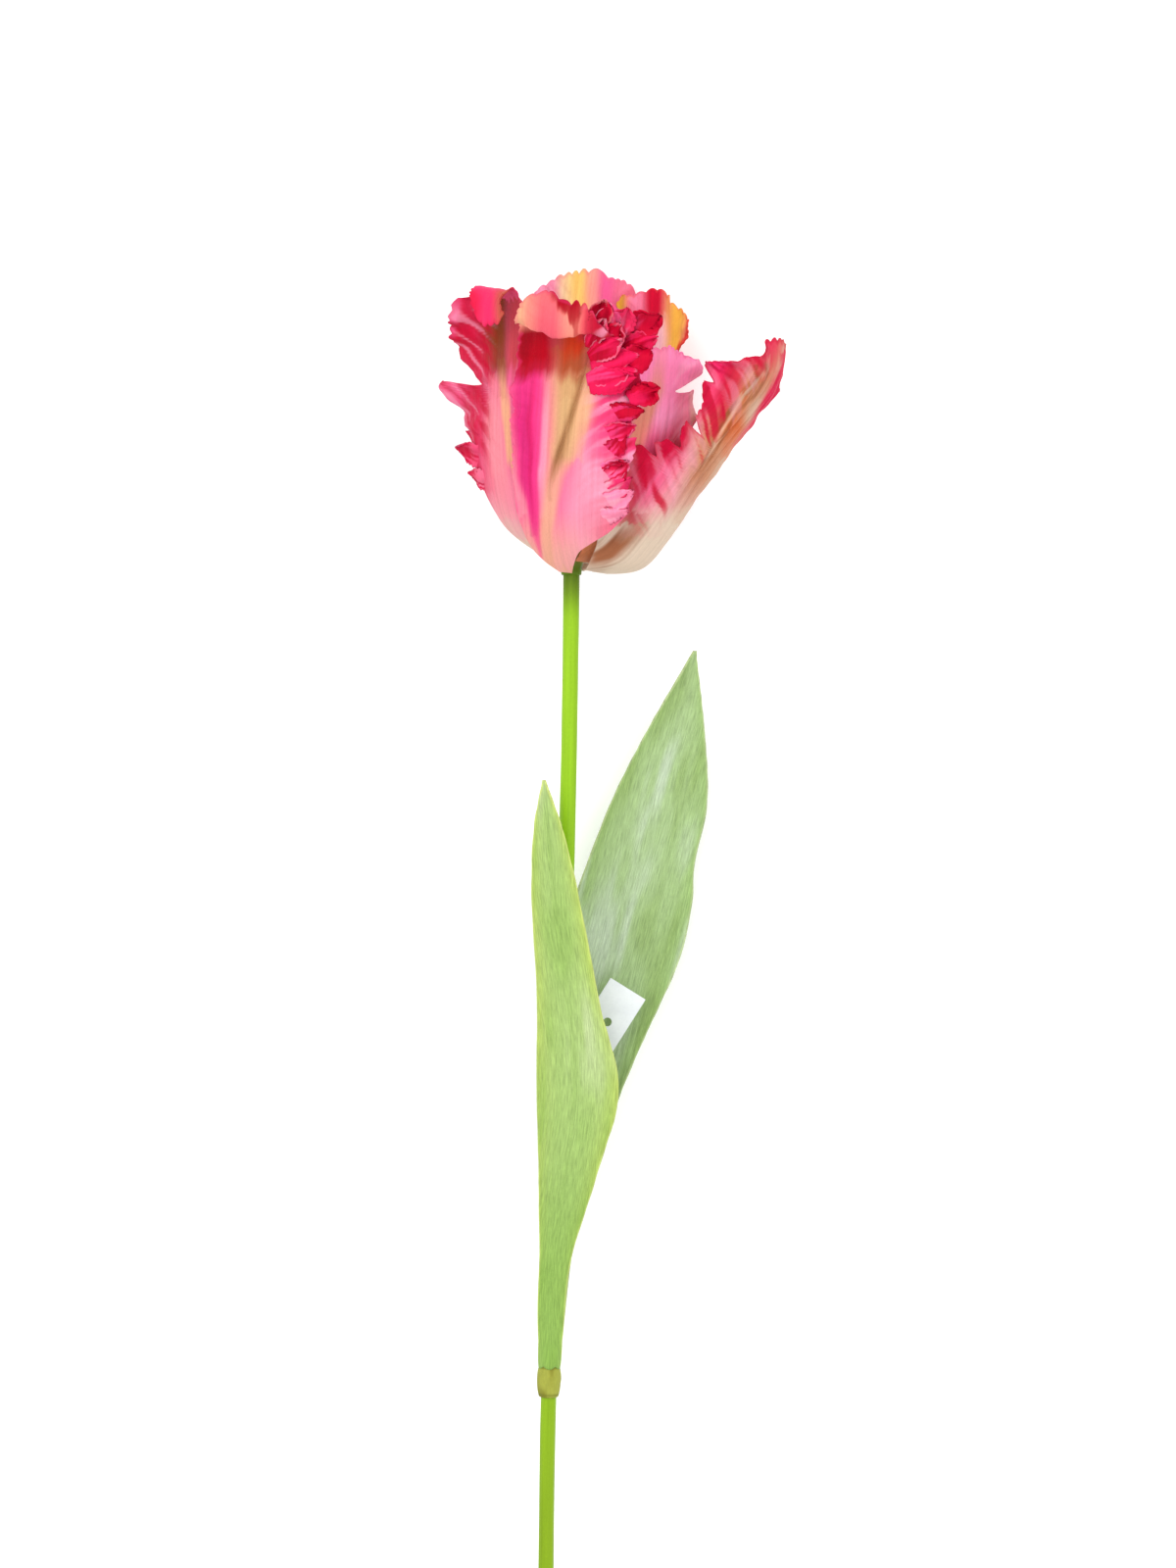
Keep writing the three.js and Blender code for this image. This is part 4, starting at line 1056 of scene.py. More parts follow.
# %% Open petal
OPEN = dict(
    azimuth=22,
    spine=[(r * CUP_RADIUS, h * CUP_HEIGHT) for r, h in [
        (0.2, 0.01), (0.42, 0.01), (0.66, 0.035), (0.85, 0.12), (1.14, 0.3), (1.49, 0.5),
        (1.77, 0.65), (1.83, 0.74), (1.82, 0.81),
    ]],
    left=[(0, 4.2), (0.12, 18), (0.28, 28), (0.42, 29), (0.5, 24), (0.58, 18), (0.65, 18),
          (0.73, 25), (0.86, 23), (1, 8)],
    right=[(0, 4.4), (0.12, 11), (0.3, 19), (0.5, 23), (0.7, 21), (0.88, 16), (1, 7)],
    left_lobes=[(0, 1), (0.3, 1), (0.4, 1.04), (0.5, 0.95), (0.62, 1.06), (0.72, 0.96),
                (0.84, 1.12), (1, 1)],
    right_lobes=[(0, 1), (0.4, 1), (0.5, 1.1), (0.6, 0.94), (0.7, 1.1), (0.8, 0.94), (1, 1)],
    slits=[(-1, 0.46, 6, 0.016), (-1, 0.53, 5, 0.014), (-1, 0.6, 5, 0.016), (-1, 0.76, 5, 0.02),
           (1, 0.66, 4, 0.02)],
    flames=[(-1, 5, 12, 0.9, 0.24, 0.24), (1, 12, 19, 0.6, 0.2, 0.4)],
    up=6, tip=-2, flare=(0, 0), round=(25, 25), leans=1, tucks=[(-1, 10, 3.6, 2, 3)], seed=91,
    teeth=0.7, toothed=(0.34, 0.46), tip_teeth=1.0, ruffle=(16, 1.7), tip_ruffle=0.9,
    creases=[
        ([(0.3, -5), (0.5, -6), (0.7, -5), (0.9, -2)], 1.0, 0.8, 0.34, 0.95),
        ([(0.3, -1), (0.5, -2), (0.7, -1), (0.9, 1)], 0.9, 0.7, 0.3, 0.97),
        ([(0.2, 3), (0.5, 2.4), (0.7, 3), (0.9, 3)], 0.7, 0.9, 0.2, 0.9),
        ([(0.3, -9), (0.5, -10), (0.7, -8)], -0.8, 1.2, 0.3, 0.8),
    ],
    base=(226, 206, 186),
    washes=[
        # brown just below the front petal's edge: partly the claw's orange-brown print, partly a
        # painted shadow of the front petal
        wash((160, 90, 40), (0, 7, 3, 0.2), (4, 9.6, 5, 0.9), (8, 14, 4.6, 0.9), (13, 20, 3, 0.6)),
        wash((236, 140, 160), (14, 22, 6, 0.1), (20, 24, 9, 0.8), (30, 29, 9, 0.8),
             (40, 33, 8, 0.6)),
        wash((244, 96, 148), (18, 21, 3, 0.2), (24, 23, 5, 0.8), (34, 27, 7, 0.8),
             (46, 30, 8, 0.8)),
        wash((208, 10, 70), (18, 16.5, 2.4, 0.6), (25, 18.4, 3.8, 0.9), (34, 23.6, 7, 1),
             (40, 30, 9, 1), (48, 32, 9, 1)),
        wash((228, 160, 168), (24, 37, 2.4, 0.2), (32, 38, 2.4, 0.8), (44, 38, 2.4, 0.5)),
        wash(TAN, (18, 34, 3, 0.2), (28, 39, 4, 0.9), (40, 44.5, 5.5, 1), (50, 50, 5.4, 1),
             (57, 57, 5, 1), (66, 61.5, 3, 0.8)),
        wash((186, 108, 70), (38, 42, 1.2, 0.2), (46, 46, 1.6, 0.8), (54, 53, 1.6, 0.8),
             (60, 59, 1.4, 0.6)),
        wash((222, 118, 66), (38, 48, 2, 0.5), (43, 49.5, 3, 0.9), (48, 51, 2, 0.4)),
        wash((244, 60, 122), (44, 41, 3, 0.2), (50, 42.4, 5, 0.9), (60, 43, 8, 1), (66, 50, 9, 1)),
        wash((210, 14, 64), (44, 43, 2, 0.3), (52, 46.6, 3, 0.9), (60, 50, 4, 0.9),
             (66, 53, 4, 0.9)),
        wash((228, 50, 96), (56, 58, 2, 0.1), (62, 58, 4, 0.8), (72, 60, 6, 0.9)),
        # two fine dark lines along the rib's creases: painted shade in the creases
        wash((150, 96, 58), (26, 36.6, 0.4, 0), (34, 41, 0.5, 0.6), (46, 46.6, 0.5, 0.7),
             (57, 56, 0.5, 0.7)),
        wash((150, 92, 52), (22, 35, 0.4, 0), (34, 43, 0.45, 0.6), (46, 49.5, 0.5, 0.6),
             (58, 59, 0.5, 0.6)),
        # a pale line between them: painted highlight on the crease's ridge
        wash((250, 222, 196), (30, 39.5, 0.4, 0), (38, 43.6, 0.5, 0.4), (52, 51.5, 0.6, 0.4),
             (60, 59.4, 0.5, 0.2)),
        wash((222, 40, 90), (38, 50.5, 1.4, 0.6), (46, 56.5, 2, 1), (56, 62.6, 2, 1),
             (62, 65, 1.6, 0.9)),
    ],
    rims=[((214, 20, 74), 1.6, 0.55)],
)
make_petal("petal_open", OPEN, (150, 180))

# %% [markdown]
# ## Back petal
# An inner petal on the far side. Over the others it shows a yellow rib, a crimson stripe and an
# orange edge, which are washes at the tip of a petal with a pale claw. A tip alone would do for
# one view, but the flower can be turned, so the whole petal is made.

# %% Back petal
BACK = dict(
    azimuth=312,
    spine=cup_spine(RING_STEP, 0.95),
    left=[(0, 3), (0.15, 10), (0.35, 14), (0.55, 12), (0.68, 6), (0.8, 7), (0.88, 12), (0.94, 14),
          (1, 12)],
    right=[(0, 3), (0.15, 12), (0.35, 20), (0.6, 23), (0.85, 21), (1, 15)],
    left_lobes=[(0, 1), (1, 1)],
    right_lobes=[(0, 1), (0.5, 1), (0.58, 1.08), (0.68, 0.9), (0.8, 1.1), (0.9, 0.94), (1, 1)],
    slits=[(1, 0.7, 4, 0.02)],
    flames=[(1, 4, 14, 0.3, 0.5, 0.3)],
    # the gain of 1.1 lightens the dye: painted light for the shade inside the cup
    painted_light_gain=1.1, slant=5, up=7, tip=-5, flare=(0, 0), round=(0, 0), seed=111,
    teeth=0.6, toothed=(0.4, 0.6), tip_teeth=1.4, ruffle=(16, 0.8), tip_ruffle=1.0,
    creases=[([(0, 0), (1, 0)], 0.6, 1.4, 0.1, 0.95)],
    base=(240, 120, 150),
    washes=[
        wash(CREAM, (0, 20, 40, 1), (16, 20, 40, 0.8), (34, 20, 40, 0)),
        wash((250, 206, 214), (60, 27, 3, 0.8), (66, 27.5, 3, 0.9), (77, 27, 3, 0.9)),
        wash((226, 186, 70), (74, 14.5, 2, 0.3), (80, 14.5, 3, 1), (92, 14.5, 3, 1)),
        wash((250, 150, 180), (74, 20, 3, 0.8), (92, 20, 3, 0.8)),
        wash((214, 20, 66), (76, 25, 2, 0.2), (79, 26, 3, 1), (90, 26, 3, 1)),
        wash((252, 208, 84), (62, 27, 1, 0.8), (70, 31.4, 2.4, 0.9), (78, 33, 3, 0.9),
             (88, 33, 3, 0.9), soft=0.85),
        wash((226, 66, 34), (60, 27, 1.2, 0.9), (66, 30.6, 1, 0.9), (74, 36.4, 1, 0.9)),
    ],
    rims=[((238, 90, 90), 1.0, 0.5)],
)
make_petal("petal_back", BACK)

# %% [markdown]
# ## Lowest petal
# The outer petal that the flower lies on. Its tip stands a little above the others, banded in
# pink, cream and yellow with soft borders, so its washes have a high `soft`. It could be a turned
# copy of the back petal, but an outer petal is broader. Its two sides are nearly the same, since
# no neighbour crowds it.

# %% Lowest petal
UNDER = dict(
    azimuth=265,
    spine=cup_spine(0, 1.02),
    left=[(0, 4.6), (0.15, 14), (0.35, 24), (0.6, 28), (0.85, 24), (1, 17)],
    right=[(0, 4.6), (0.15, 14), (0.35, 24), (0.6, 28), (0.85, 24), (1, 17)],
    left_lobes=[(0, 1), (0.4, 1), (0.52, 1.08), (0.6, 0.92), (0.74, 1.1), (0.82, 0.94), (1, 1)],
    right_lobes=[(0, 1), (0.4, 1), (0.5, 1.08), (0.62, 0.94), (0.72, 1.08), (0.84, 0.95), (1, 1)],
    slits=[(1, 0.62, 4, 0.02), (-1, 0.6, 4, 0.02)],
    # the gain of 1.1 lightens the dye: painted light for the shade inside the cup
    painted_light_gain=1.1, flames=[(-1, 5, 16, 0.3, 0.5, 0.3), (1, 5, 16, 0.3, 0.5, 0.3)],
    up=6, tip=-6, flare=(4.5, 4.5), round=(110, 110), seed=131,
    teeth=0.6, toothed=(0.4, 0.6), tip_teeth=1.3, ruffle=(17, 0.8), tip_ruffle=0.9,
    creases=[([(0, 0), (1, 0)], 0.6, 1.4, 0.1, 0.95)],
    base=(242, 130, 158),
    washes=[
        wash(CREAM, (0, 0, 60, 1), (18, 0, 60, 0.8), (36, 0, 60, 0)),
        wash((214, 40, 84), (30, -31, 4, 0.5), (50, -31, 5, 0.9), (66, -31, 5, 0.4)),
        wash((250, 170, 200), (70, -5, 5, 0.3), (80, -6, 5, 0.8), (95, -7, 5, 0.9)),
        wash((246, 222, 180), (66, -1, 3, 0.4), (80, -1, 3, 0.9), (95, -1, 3, 0.9)),
        wash((252, 220, 120), (66, 2, 2.6, 0.4), (80, 2.4, 3, 0.8), (95, 2.4, 3, 0.9), soft=0.95),
        wash((252, 176, 160), (66, 7, 1.6, 0.4), (80, 7, 2, 0.8), (95, 7, 2, 0.8), soft=0.9),
        wash((246, 110, 166), (66, 11, 2.4, 0.4), (80, 11, 2.4, 0.9), (95, 11, 2.4, 0.9), soft=0.9),
    ],
    rims=[((244, 130, 150), 1.2, 0.4)],
)
make_petal("petal_under", UNDER)

# %% [markdown]
# ## Stem
# A plastic sleeve over a wire, about five millimetres thick, moulded with faint ribs that run its
# length. It leaves the flower level and bends down to the table. A bevelled curve would be quicker
# but has no ribs. A grid that is rolled into a tube and closed along its seam can follow that
# course and keep the ribs, and its ends are filled.

# %% Stem's course
STEM_LENGTH, STEM_SWAY, STEM_PLUG = 408, 8.5, 3
STEM_RADIUS = 2.45
stem_drop = STEM_RADIUS - FLOWER[2] / MM
STEM_COURSE = [
    (-STEM_PLUG / STEM_LENGTH, 0, 0), (0, 0, 0), (0.09, 0.05, 0.04), (0.2, 0.16, 0.16),
    (0.35, 0.36, 0.34), (0.61, 0.82, 0.62), (0.76, 0.94, 0.77), (1, 1, 1),
]
stem_route = route([
    (-STEM_SWAY * aside, -STEM_LENGTH * share, stem_drop * down)
    for share, aside, down in STEM_COURSE
])


def stem_frame(below):
    """Where the stem is at a distance below the flower, and which ways run beside and along it."""
    spot, heading = follow(stem_route, (np.asarray(below, float) + STEM_PLUG) / stem_route[1])
    onward = -heading
    side = np.cross(onward, (0, 0, 1))
    side /= np.linalg.norm(side, axis=-1, keepdims=True)
    return spot, side, onward, np.cross(side, onward)


print("the stem's course is", round(stem_route[1], 1), "mm long")

# %% Stem
STEM_GRID = (40, 300)
STEM_RIBS, STEM_RIB_DEPTH = 9, 0.012
# the darker green is painted shade, for the stem's top under the flower head
STEM_GREEN, STEM_PAINTED_SHADE, STEM_FOOT = tint(160, 204, 44), tint(112, 142, 26), tint(150, 182, 40)


def stem_shape(u, v):
    below = v * (stem_route[1] - 0.02) - STEM_PLUG
    spot, side, onward, upright = stem_frame(below)
    angle = math.pi * (u + 1)
    ribs = 1 + STEM_RIB_DEPTH * np.cos(STEM_RIBS * angle)
    radius = STEM_RADIUS * mix(1.02, 0.95, v) * ribs
    radius = radius + 0.05 * mottle(np.cos(angle) * 2 + 9, below / 14, 201)
    outward = side * np.cos(angle)[:, None] + upright * np.sin(angle)[:, None]
    spots = spot + radius[:, None] * outward
    # darker down to about 16 mm below the flower: painted shade under the flower head
    dye_and_shading = mix(STEM_PAINTED_SHADE, STEM_GREEN, smooth(below, 2, 16)[:, None])
    dye_and_shading = mix(dye_and_shading, STEM_FOOT, smooth(below, 200, 300)[:, None])
    dye_and_shading = dye_and_shading * (1 + 0.09 * mottle(np.cos(angle) * 3 + 9, below / 30, 202))[:, None]
    return spots, dye_and_shading, np.column_stack([radius * angle, below, radius * 0])


def close_tube(bm):
    bmesh.ops.remove_doubles(bm, verts=bm.verts, dist=1e-6)
    bmesh.ops.holes_fill(bm, edges=[edge for edge in bm.edges if edge.is_boundary], sides=0)
    bmesh.ops.recalc_face_normals(bm, faces=bm.faces)


plastic = dyed("green plastic", (0.5, 22), 0.93, 1.06, 0.42, 0.12)
stem_bm = new_sheet_mesh()
lay(stem_bm, *STEM_GRID, stem_shape)
close_tube(stem_bm)
as_piece(stem_bm, "stem_sleeve", "stem", plastic, "stem")

# %% [markdown]
# ## Leaves
# Both leaves are cut from matt cloth with a print of fine broken streaks, pale where a real leaf
# has its bloom. Each starts as a sheath round the stem just over the collar and opens into a
# blade. The front one has a thin light rim. A flat cut-out bent by modifiers would not close round
# the stem, so the blade is laid along the stem's own course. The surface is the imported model's:
# half-widths, a roll across, a turn about the length. The edges are waved a little more, and
# parallel veins are pressed in.

# %% Leaves: outlines and colours
LEAF_FOOT = 245.2  # from the flower down to where the leaves start
LEAF_CLOTH, SHEATH_RADIUS = 0.6, 3.0
LEAVES = {
    "leaf_front": dict(
        wraps=1, length=182, width=28, half_turn=84, seed=301,
        aside=[(0, 0), (0.15, 0.3), (0.35, 3.4), (0.48, 4.8), (0.62, 2.2), (0.8, -3.2), (1, -7.4)],
        height=[(0, 0), (0.12, 0.6), (0.4, 6.8), (0.7, 8), (1, 6.5)],
        left=[(0.04, 0), (0.18, 0.17), (0.35, 0.38), (0.48, 0.5), (0.62, 0.41), (0.8, 0.28),
              (0.92, 0.16), (1, 0.012)],
        right=[(0.04, 0), (0.18, 0.16), (0.35, 0.36), (0.48, 0.48), (0.62, 0.35), (0.8, 0.27),
               (0.92, 0.16), (1, 0.012)],
        roll=[(0, 0), (0.3, 11), (0.5, 19), (0.8, 13), (1, 9)],
        turn=[(0, 0), (0.3, -10), (0.6, -14), (1, -8)],
        # edge and low are partly painted shading: the rolled margins' tone, and a darker foot that
        # also colours random patches
        waves=(0.4, 60), base=(176, 203, 128), edge=(192, 210, 104), bloom=(202, 218, 168),
        low=(150, 186, 92), rim=(214, 226, 140),
    ),
    "leaf_back": dict(
        wraps=-1, length=221, width=39, half_turn=74, seed=321,
        aside=[(0, 0), (0.15, 1.4), (0.3, 4.6), (0.45, 11), (0.6, 18.5), (0.8, 28.2), (1, 38.4)],
        height=[(0, 0), (0.2, -1.5), (0.4, -7), (0.6, -14.5), (0.8, -19), (1, -19.5)],
        left=[(0.04, 0), (0.2, 0.15), (0.4, 0.34), (0.6, 0.5), (0.75, 0.42), (0.88, 0.23),
              (1, 0.01)],
        right=[(0.04, 0), (0.2, 0.13), (0.4, 0.31), (0.56, 0.49), (0.64, 0.49), (0.7, 0.43),
               (0.78, 0.41), (0.88, 0.25), (1, 0.01)],
        roll=[(0, 0), (0.25, 14), (0.5, 34), (0.8, 30), (1, 20)],
        turn=[(0, 0), (0.5, 4), (1, 8)],
        # edge and low are partly painted shading: the rolled margins' tone, and a darker foot that
        # also colours random patches
        waves=(0.9, 52), base=(178, 202, 150), edge=(164, 194, 122), bloom=(206, 220, 198),
        low=(140, 168, 84), rim=(196, 212, 160),
    ),
}
print("the leaves are", [leaf["length"] for leaf in LEAVES.values()], "mm long")

# %% Leaves: laying the blades
LEAF_GRID = (60, 240)
VEIN_PITCH, VEIN_DEPTH = 1.9, 0.1


def turned(vectors, axis, angle):
    """Vectors that are square to an axis, turned about it."""
    return vectors * np.cos(angle)[:, None] + np.cross(axis, vectors) * np.sin(angle)[:, None]


def leaf_shape(leaf):
    def shape(u, v):
        seed, length = leaf["seed"], leaf["length"]
        foot = 1 - smooth(v, 0, 0.03)
        scallop = foot * (0.5 + 0.9 * np.abs(np.cos(4 * u)))  # the sheath's end laps the collar
        spot, side, onward, upright = stem_frame(LEAF_FOOT - v * length + scallop)
        tilt = np.radians(between(leaf["turn"], v))
        beside, facing = turned(side, onward, tilt), turned(upright, onward, tilt)
        free = np.where(u < 0, between(leaf["left"], v), between(leaf["right"], v)) * leaf["width"]
        wrap = SHEATH_RADIUS + 0.1 * foot
        sheath = wrap * math.radians(leaf["half_turn"]) * (1 - smooth(v, 0, 0.22))
        across = u * (sheath + free)
        roll = wrap + between(leaf["roll"], v)
        angle = across / roll
        open_blade = smooth(v, 0.15, 0.35)
        wave, pitch = leaf["waves"]
        waved = wave * np.sin(2 * math.pi * v * length / pitch + 2 * np.sign(u)) * np.abs(u) ** 3
        wander = 0.6 * mottle(v * 9, u, seed)
        veins = VEIN_DEPTH * np.sin(2 * math.pi * across / VEIN_PITCH + wander)
        rib = -0.5 * np.exp(-((across / 0.9) ** 2))
        bend = 0.5 * mottle(across / 9, v * length / 28, seed + 1)
        raised = leaf["wraps"] * open_blade * (waved + veins + rib + bend)
        high = leaf["wraps"] * wrap + between(leaf["height"], v)
        out, sink = roll * np.sin(angle), leaf["wraps"] * roll * (1 - np.cos(angle))
        spots = (
            spot + side * between(leaf["aside"], v)[:, None] + upright * high[:, None]
            + beside * out[:, None] + facing * (raised - sink)[:, None]
        )
        patch = mottle(across / 7, v * length / 26, seed + 2)
        patch = patch + 0.5 * mottle(across / 2.6, v * length / 15, seed + 3)
        # toward both margins the colour turns to the edge colour: painted shading of the rolled
        # blade, lighter on the front leaf and darker on the back one
        dye_and_shading = mix(tint(*leaf["base"]), tint(*leaf["edge"]), (0.8 * np.abs(u) ** 3)[:, None])
        bloom = smooth(patch, 0, 1.1) * smooth(v, 0.3, 0.6) * 0.8
        dye_and_shading = mix(dye_and_shading, tint(*leaf["bloom"]), bloom[:, None])
        # darker toward the foot: painted shade; the darker patches elsewhere are the print's random
        # tone
        low = np.clip(0.8 * (1 - smooth(v, 0.1, 0.5)) + 0.4 * smooth(-patch, 0.1, 1), 0, 1)
        dye_and_shading = mix(dye_and_shading, tint(*leaf["low"]), low[:, None])
        edge = (1 - np.abs(u)) * (sheath + free)
        dye_and_shading = rim_dye(dye_and_shading, edge, leaf["rim"], 0.55, 0.8)
        return spots, dye_and_shading, np.column_stack([across, v * length, edge])
    return shape


for name, leaf in LEAVES.items():
    leaf_bm = new_sheet_mesh()
    lay(leaf_bm, *LEAF_GRID, leaf_shape(leaf))
    blade = as_piece(leaf_bm, name + "_blade", "leaf", leaf_cloth, name)
    thicken(blade, LEAF_CLOTH)

# %% [markdown]
# ## Turned parts
# The collar, the boss, the pistil and the stamens are small mouldings that are round about one
# axis. A stack of cylinders would show its steps; a profile that is spun about the axis, with its
# first and last step merged, gives a smooth outline. What isn't quite round, such as the pistil's
# lobes and the anthers' grooves, is pinched in afterwards.

# %% Spinning a profile
POINTS_TO_A_STOP = 8


def put_in_order(bm):
    """Merging leaves points and faces in no set order. Sorted by place, each run gives the same."""
    ranks = {vert: n for n, vert in enumerate(sorted(bm.verts, key=lambda vert: vert.co[:]))}
    bm.verts.sort(key=ranks.get)
    places = lambda face: sorted(vert.co[:] for vert in face.verts)
    ranks = {face: n for n, face in enumerate(sorted(bm.faces, key=places))}
    bm.faces.sort(key=ranks.get)


def spin(profile, steps, place, dye_and_shade_of):
    """Spins (radius, height) points about the upright and puts the result where place() says."""
    bm = new_sheet_mesh()
    path, _ = route([(r, h, 0) for r, h in profile])
    path = path[::max(1, COURSE_STEPS // (POINTS_TO_A_STOP * len(profile)))]
    points = [bm.verts.new((max(r, 0), h, 0)) for r, h, _ in [*path, (*profile[-1], 0)]]
    line = [bm.edges.new(pair) for pair in zip(points, points[1:])]
    bmesh.ops.spin(
        bm, geom=points + line, cent=(0, 0, 0), axis=(0, 1, 0), angle=2 * math.pi, steps=steps,
        use_merge=True,
    )
    bmesh.ops.remove_doubles(bm, verts=bm.verts, dist=1e-4)
    bmesh.ops.recalc_face_normals(bm, faces=bm.faces)
    put_in_order(bm)
    at = np.array([vert.co[:] for vert in bm.verts])
    angle = np.arctan2(at[:, 2], at[:, 0])
    dye_and_shading = dye_and_shade_of(at, angle)
    for vert, spot, colour, turn in zip(bm.verts, place(at, angle) * MM + FLOWER, dye_and_shading, angle):
        vert[bm.verts.layers.float_color["dye_and_shading"]] = (*colour, 1)
        vert[bm.verts.layers.float_vector["cloth"]] = (3 * turn, vert.co.y, 0)
        vert.co = spot
    return bm


print("a profile gets", POINTS_TO_A_STOP, "points to a stop")

# %% [markdown]
# ## Collar
# The knuckle that the leaf bases sit on is an olive moulding, dull and a little uneven, with a
# darker line round each end. A bevelled tube would be too regular, so its bulge is a spun profile,
# and its outside is roughened slightly. The bore stays round, clear of the stem.

# %% Collar
COLLAR_TOP, COLLAR_LENGTH = 245.5, 10
COLLAR_BORE, COLLAR_RIM = 2.75, 3.2
COLLAR_LINES, LINE_WIDTH = (0.8, 9.3), 0.4  # the darker line round each end


def on_collar(at, angle):
    spot, side, onward, upright = stem_frame(np.full(1, COLLAR_TOP + COLLAR_LENGTH))
    outside = np.hypot(at[:, 0], at[:, 2]) > COLLAR_BORE + 0.1
    rough = 1 + 0.02 * mottle(angle * 2, at[:, 1] / 2, 401) * outside
    return spot + (at[:, :1] * side + at[:, 2:] * upright) * rough[:, None] + at[:, 1:2] * onward


def collar_dye(at, angle):
    worn = mottle(angle * 1.5, at[:, 1] / 5, 402)
    dye_and_shading = mix(tint(176, 180, 84), tint(150, 148, 58), smooth(worn, -0.2, 0.9)[:, None])
    rings = sum(np.exp(-(((at[:, 1] - place) / LINE_WIDTH) ** 2)) for place in COLLAR_LINES)
    return mix(dye_and_shading, tint(120, 124, 44), (0.6 * np.clip(rings, 0, 1))[:, None])


collar_profile = [
    (COLLAR_BORE, 0), (COLLAR_RIM - 0.3, 0.05), (COLLAR_RIM + 0.05, 1), (COLLAR_RIM + 0.4, 3),
    (COLLAR_RIM + 0.55, 5.5), (COLLAR_RIM + 0.35, 7.8), (COLLAR_RIM - 0.15, 9.7), (COLLAR_BORE, 10),
    (COLLAR_BORE, 5), (COLLAR_BORE, 0),
]
collar_plastic = dyed("olive moulding", (0.7, 3), 0.9, 1.08, 0.6, 0.15)
collar_bm = spin(collar_profile, 48, on_collar, collar_dye)
as_piece(collar_bm, "collar_ring", "collar", collar_plastic, "leaf_collar")

# %% [markdown]
# ## Boss
# A green moulding at the flower's foot: the stem plugs into it from below and the petals are
# fixed round it. A cut socket would need a boolean. Drawn into the profile it is spun along with
# the rest, and since hardly any of the boss shows, the stem's plastic is enough.

# %% Boss
BOSS_TOP = 8.5
boss_profile = [
    (0, 3.3), (2.75, 3.3), (2.75, -1), (3.0, -1), (3.3, 1.4), (3.9, 3.2), (4.4, 4.6), (4.4, 7.2),
    (3.9, 8.2), (2.4, BOSS_TOP), (0, BOSS_TOP),
]


def stay(at, angle):
    return at


def boss_dye_and_shade(at, angle):
    # dark green at the foot, the same painted shade as the stem's top, turning pale toward the top
    return mix(tint(110, 140, 30), tint(188, 200, 118), smooth(at[:, 1], 0, 8)[:, None])


as_piece(spin(boss_profile, 36, stay, boss_dye_and_shade), "boss", "boss", plastic, "receptacle")

# %% [markdown]
# ## Pistil
# A slim green column in the middle with a pale crown in three lobes. A tulip's pistil has three
# sides all the way up, so the spun form is pinched three times round its whole height. Modelling
# one third and turning it twice would leave seams.

# %% Pistil
PISTIL_FOOT = BOSS_TOP + 0.3
pistil_profile = [
    (0, PISTIL_FOOT), (2.2, PISTIL_FOOT), (2.5, 13.5), (2.4, 22), (1.9, 27.5), (2.2, 29.5),
    (3.6, 31), (3.1, 32.6), (1.4, 32.0), (0, 31.6),
]


def three_lobed(at, angle):
    lobes = 0.86 + 0.14 * np.cos(3 * angle)
    return np.column_stack([at[:, 0] * lobes, at[:, 1], at[:, 2] * lobes])


def pistil_dye(at, angle):
    return mix(tint(150, 178, 84), tint(232, 226, 150), smooth(at[:, 1], 24, 31)[:, None])


pistil_bm = spin(pistil_profile, 48, three_lobed, pistil_dye)
as_piece(pistil_bm, "pistil_form", "pistil", plastic, "pistil")

# %% [markdown]
# ## Stamens
# Six thin filaments lean outwards round the pistil, and each carries a long dark anther with four
# grooves and a powdery surface. They are all one spun profile, set round the axis by a turn of 60
# degrees, with each turn written into the mesh so that every object stays at the origin.

# %% Stamens
FILAMENT, ANTHER_RADIUS = 11, 1.5
STAMEN_LEAN, STAMEN_RING = math.radians(14), 3.9
stamen_profile = [
    (0, 0), (0.78, 0), (0.62, 5), (0.6, FILAMENT), (1.2, 11.8), (ANTHER_RADIUS, 15), (1.42, 20),
    (0.8, 23.6), (0, 24),
]
powder = dyed("anther powder", (0.3, 0.5), 0.6, 1.5, 0.9, 0.3, sheen=0.2)


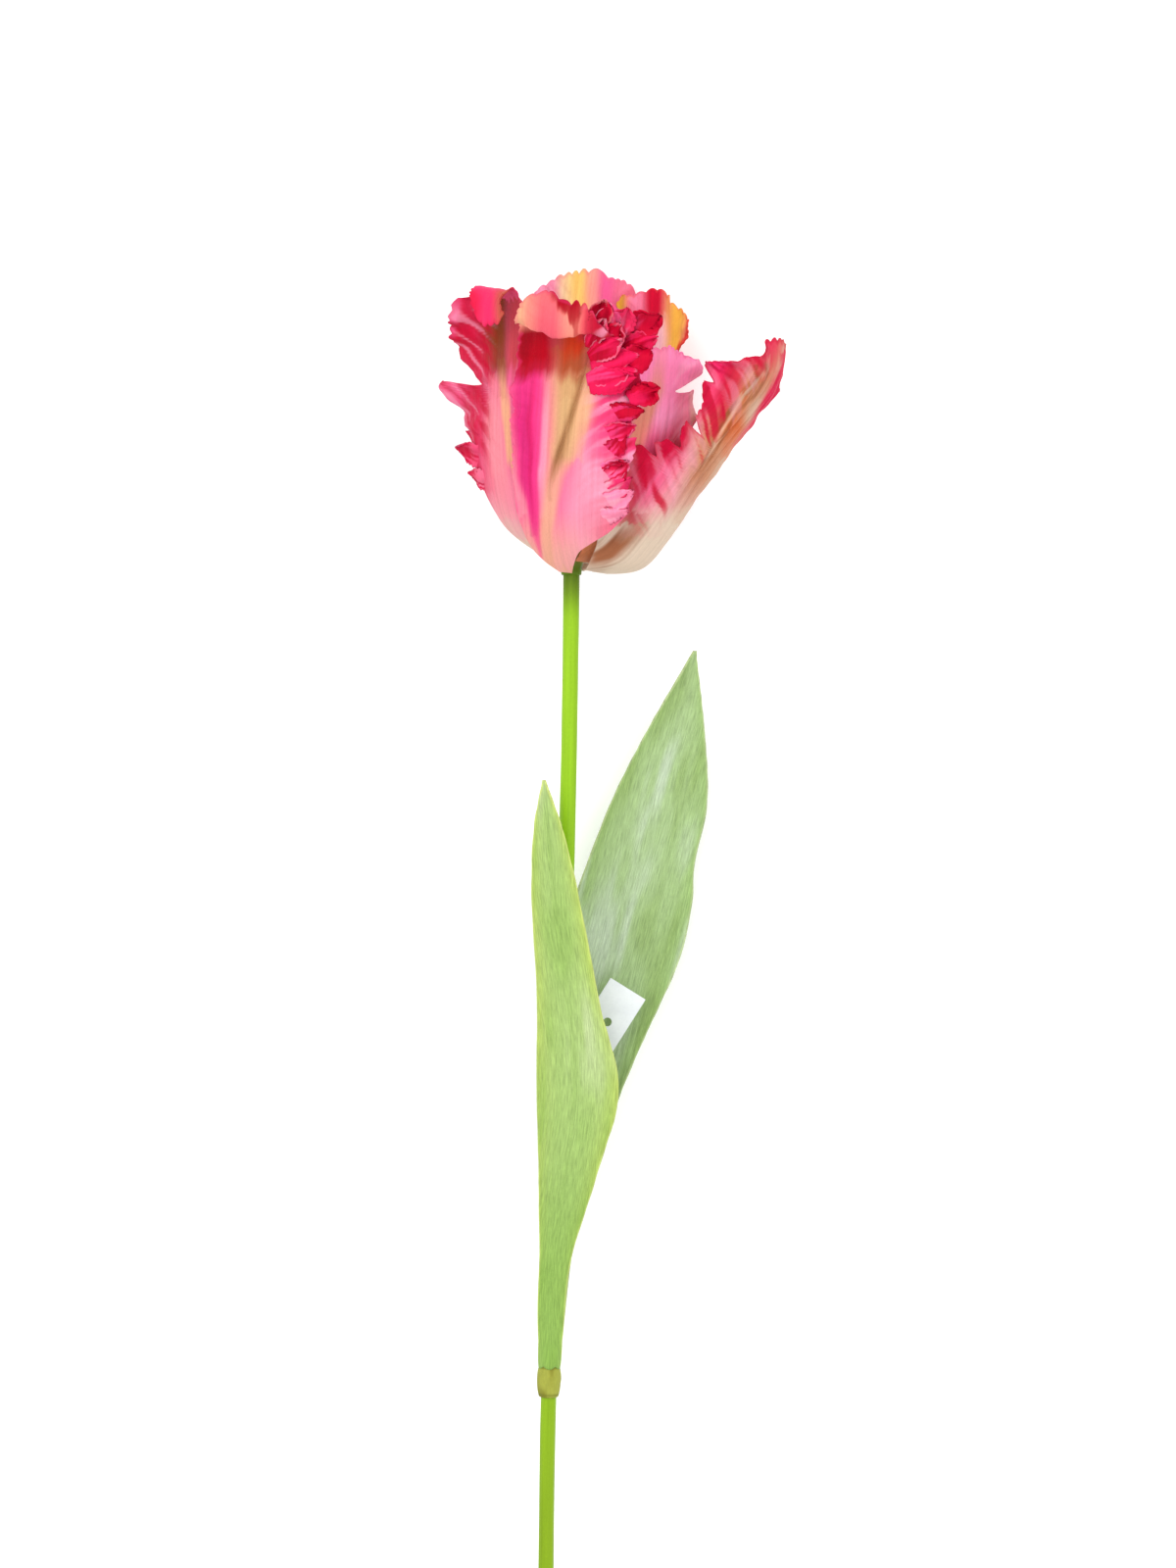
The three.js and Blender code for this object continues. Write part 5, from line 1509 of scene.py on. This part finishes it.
def stamen_place(number):
    lean, round_axis = STAMEN_LEAN, math.radians(30 + 60 * number)

    def place(at, angle):
        grooved = 1 - 0.16 * np.abs(np.cos(2 * angle)) ** 6 * (at[:, 1] > FILAMENT + 1)
        x, y, z = at[:, 0] * grooved, at[:, 1], at[:, 2] * grooved
        x, y = (
            x * math.cos(lean) + y * math.sin(lean) + STAMEN_RING,
            y * math.cos(lean) - x * math.sin(lean),
        )
        return np.column_stack([
            x * math.cos(round_axis) + z * math.sin(round_axis), y + PISTIL_FOOT + 0.3,
            z * math.cos(round_axis) - x * math.sin(round_axis),
        ])
    return place


def stamen_dye(at, angle):
    return mix(tint(196, 200, 130), tint(66, 34, 52), smooth(at[:, 1], 10, 12)[:, None])


for number in range(6):
    name = f"stamen_{number + 1}"
    stamen_bm = spin(stamen_profile, 20, stamen_place(number), stamen_dye)
    as_piece(stamen_bm, name + "_form", "stamen", powder, name)

# %% [markdown]
# ## Price tag
# A strip of thin white card, folded round the stem and stuck to itself, with a punched hole. It is
# left blank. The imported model's shape is already the real one, so the node stays and only gets a
# card material: fibres that cloud the white a little, and a soft tooth to the surface.

# %% Card
card, tree, principled = shader("white card")
spot = tree.nodes.new("ShaderNodeTexCoord").outputs["Object"]
fibres = node(tree, "ShaderNodeTexNoise", Vector=spot, Scale=900.0, Detail=5.0, Roughness=0.7)
clouds = node(tree, "ShaderNodeTexNoise", Vector=spot, Scale=160.0, Detail=3.0)
white = ramp(
    tree, clouds.outputs["Fac"], (0.3, (0.66, 0.69, 0.71, 1)), (0.7, (0.74, 0.77, 0.78, 1)),
)
flecks = ramp(tree, fibres.outputs["Fac"], (0.3, grey(0.95)), (0.6, grey(1)))
tree.links.new(blend_colours(tree, "MULTIPLY", 1.0, white, flecks), principled.inputs["Base Color"])
tooth = node(tree, "ShaderNodeBump", Height=fibres.outputs["Fac"], Strength=0.3, Distance=0.05 * MM)
tree.links.new(tooth.outputs[0], principled.inputs["Normal"])
gloss = ramp(tree, fibres.outputs["Fac"], (0.3, grey(0.6)), (0.7, grey(0.75)))
tree.links.new(gloss, principled.inputs["Roughness"])
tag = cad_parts["price_tag"]
tag.data.materials.clear()
tag.data.materials.append(card)
print("price_tag has", len(tag.data.vertices), "points and the card finish")
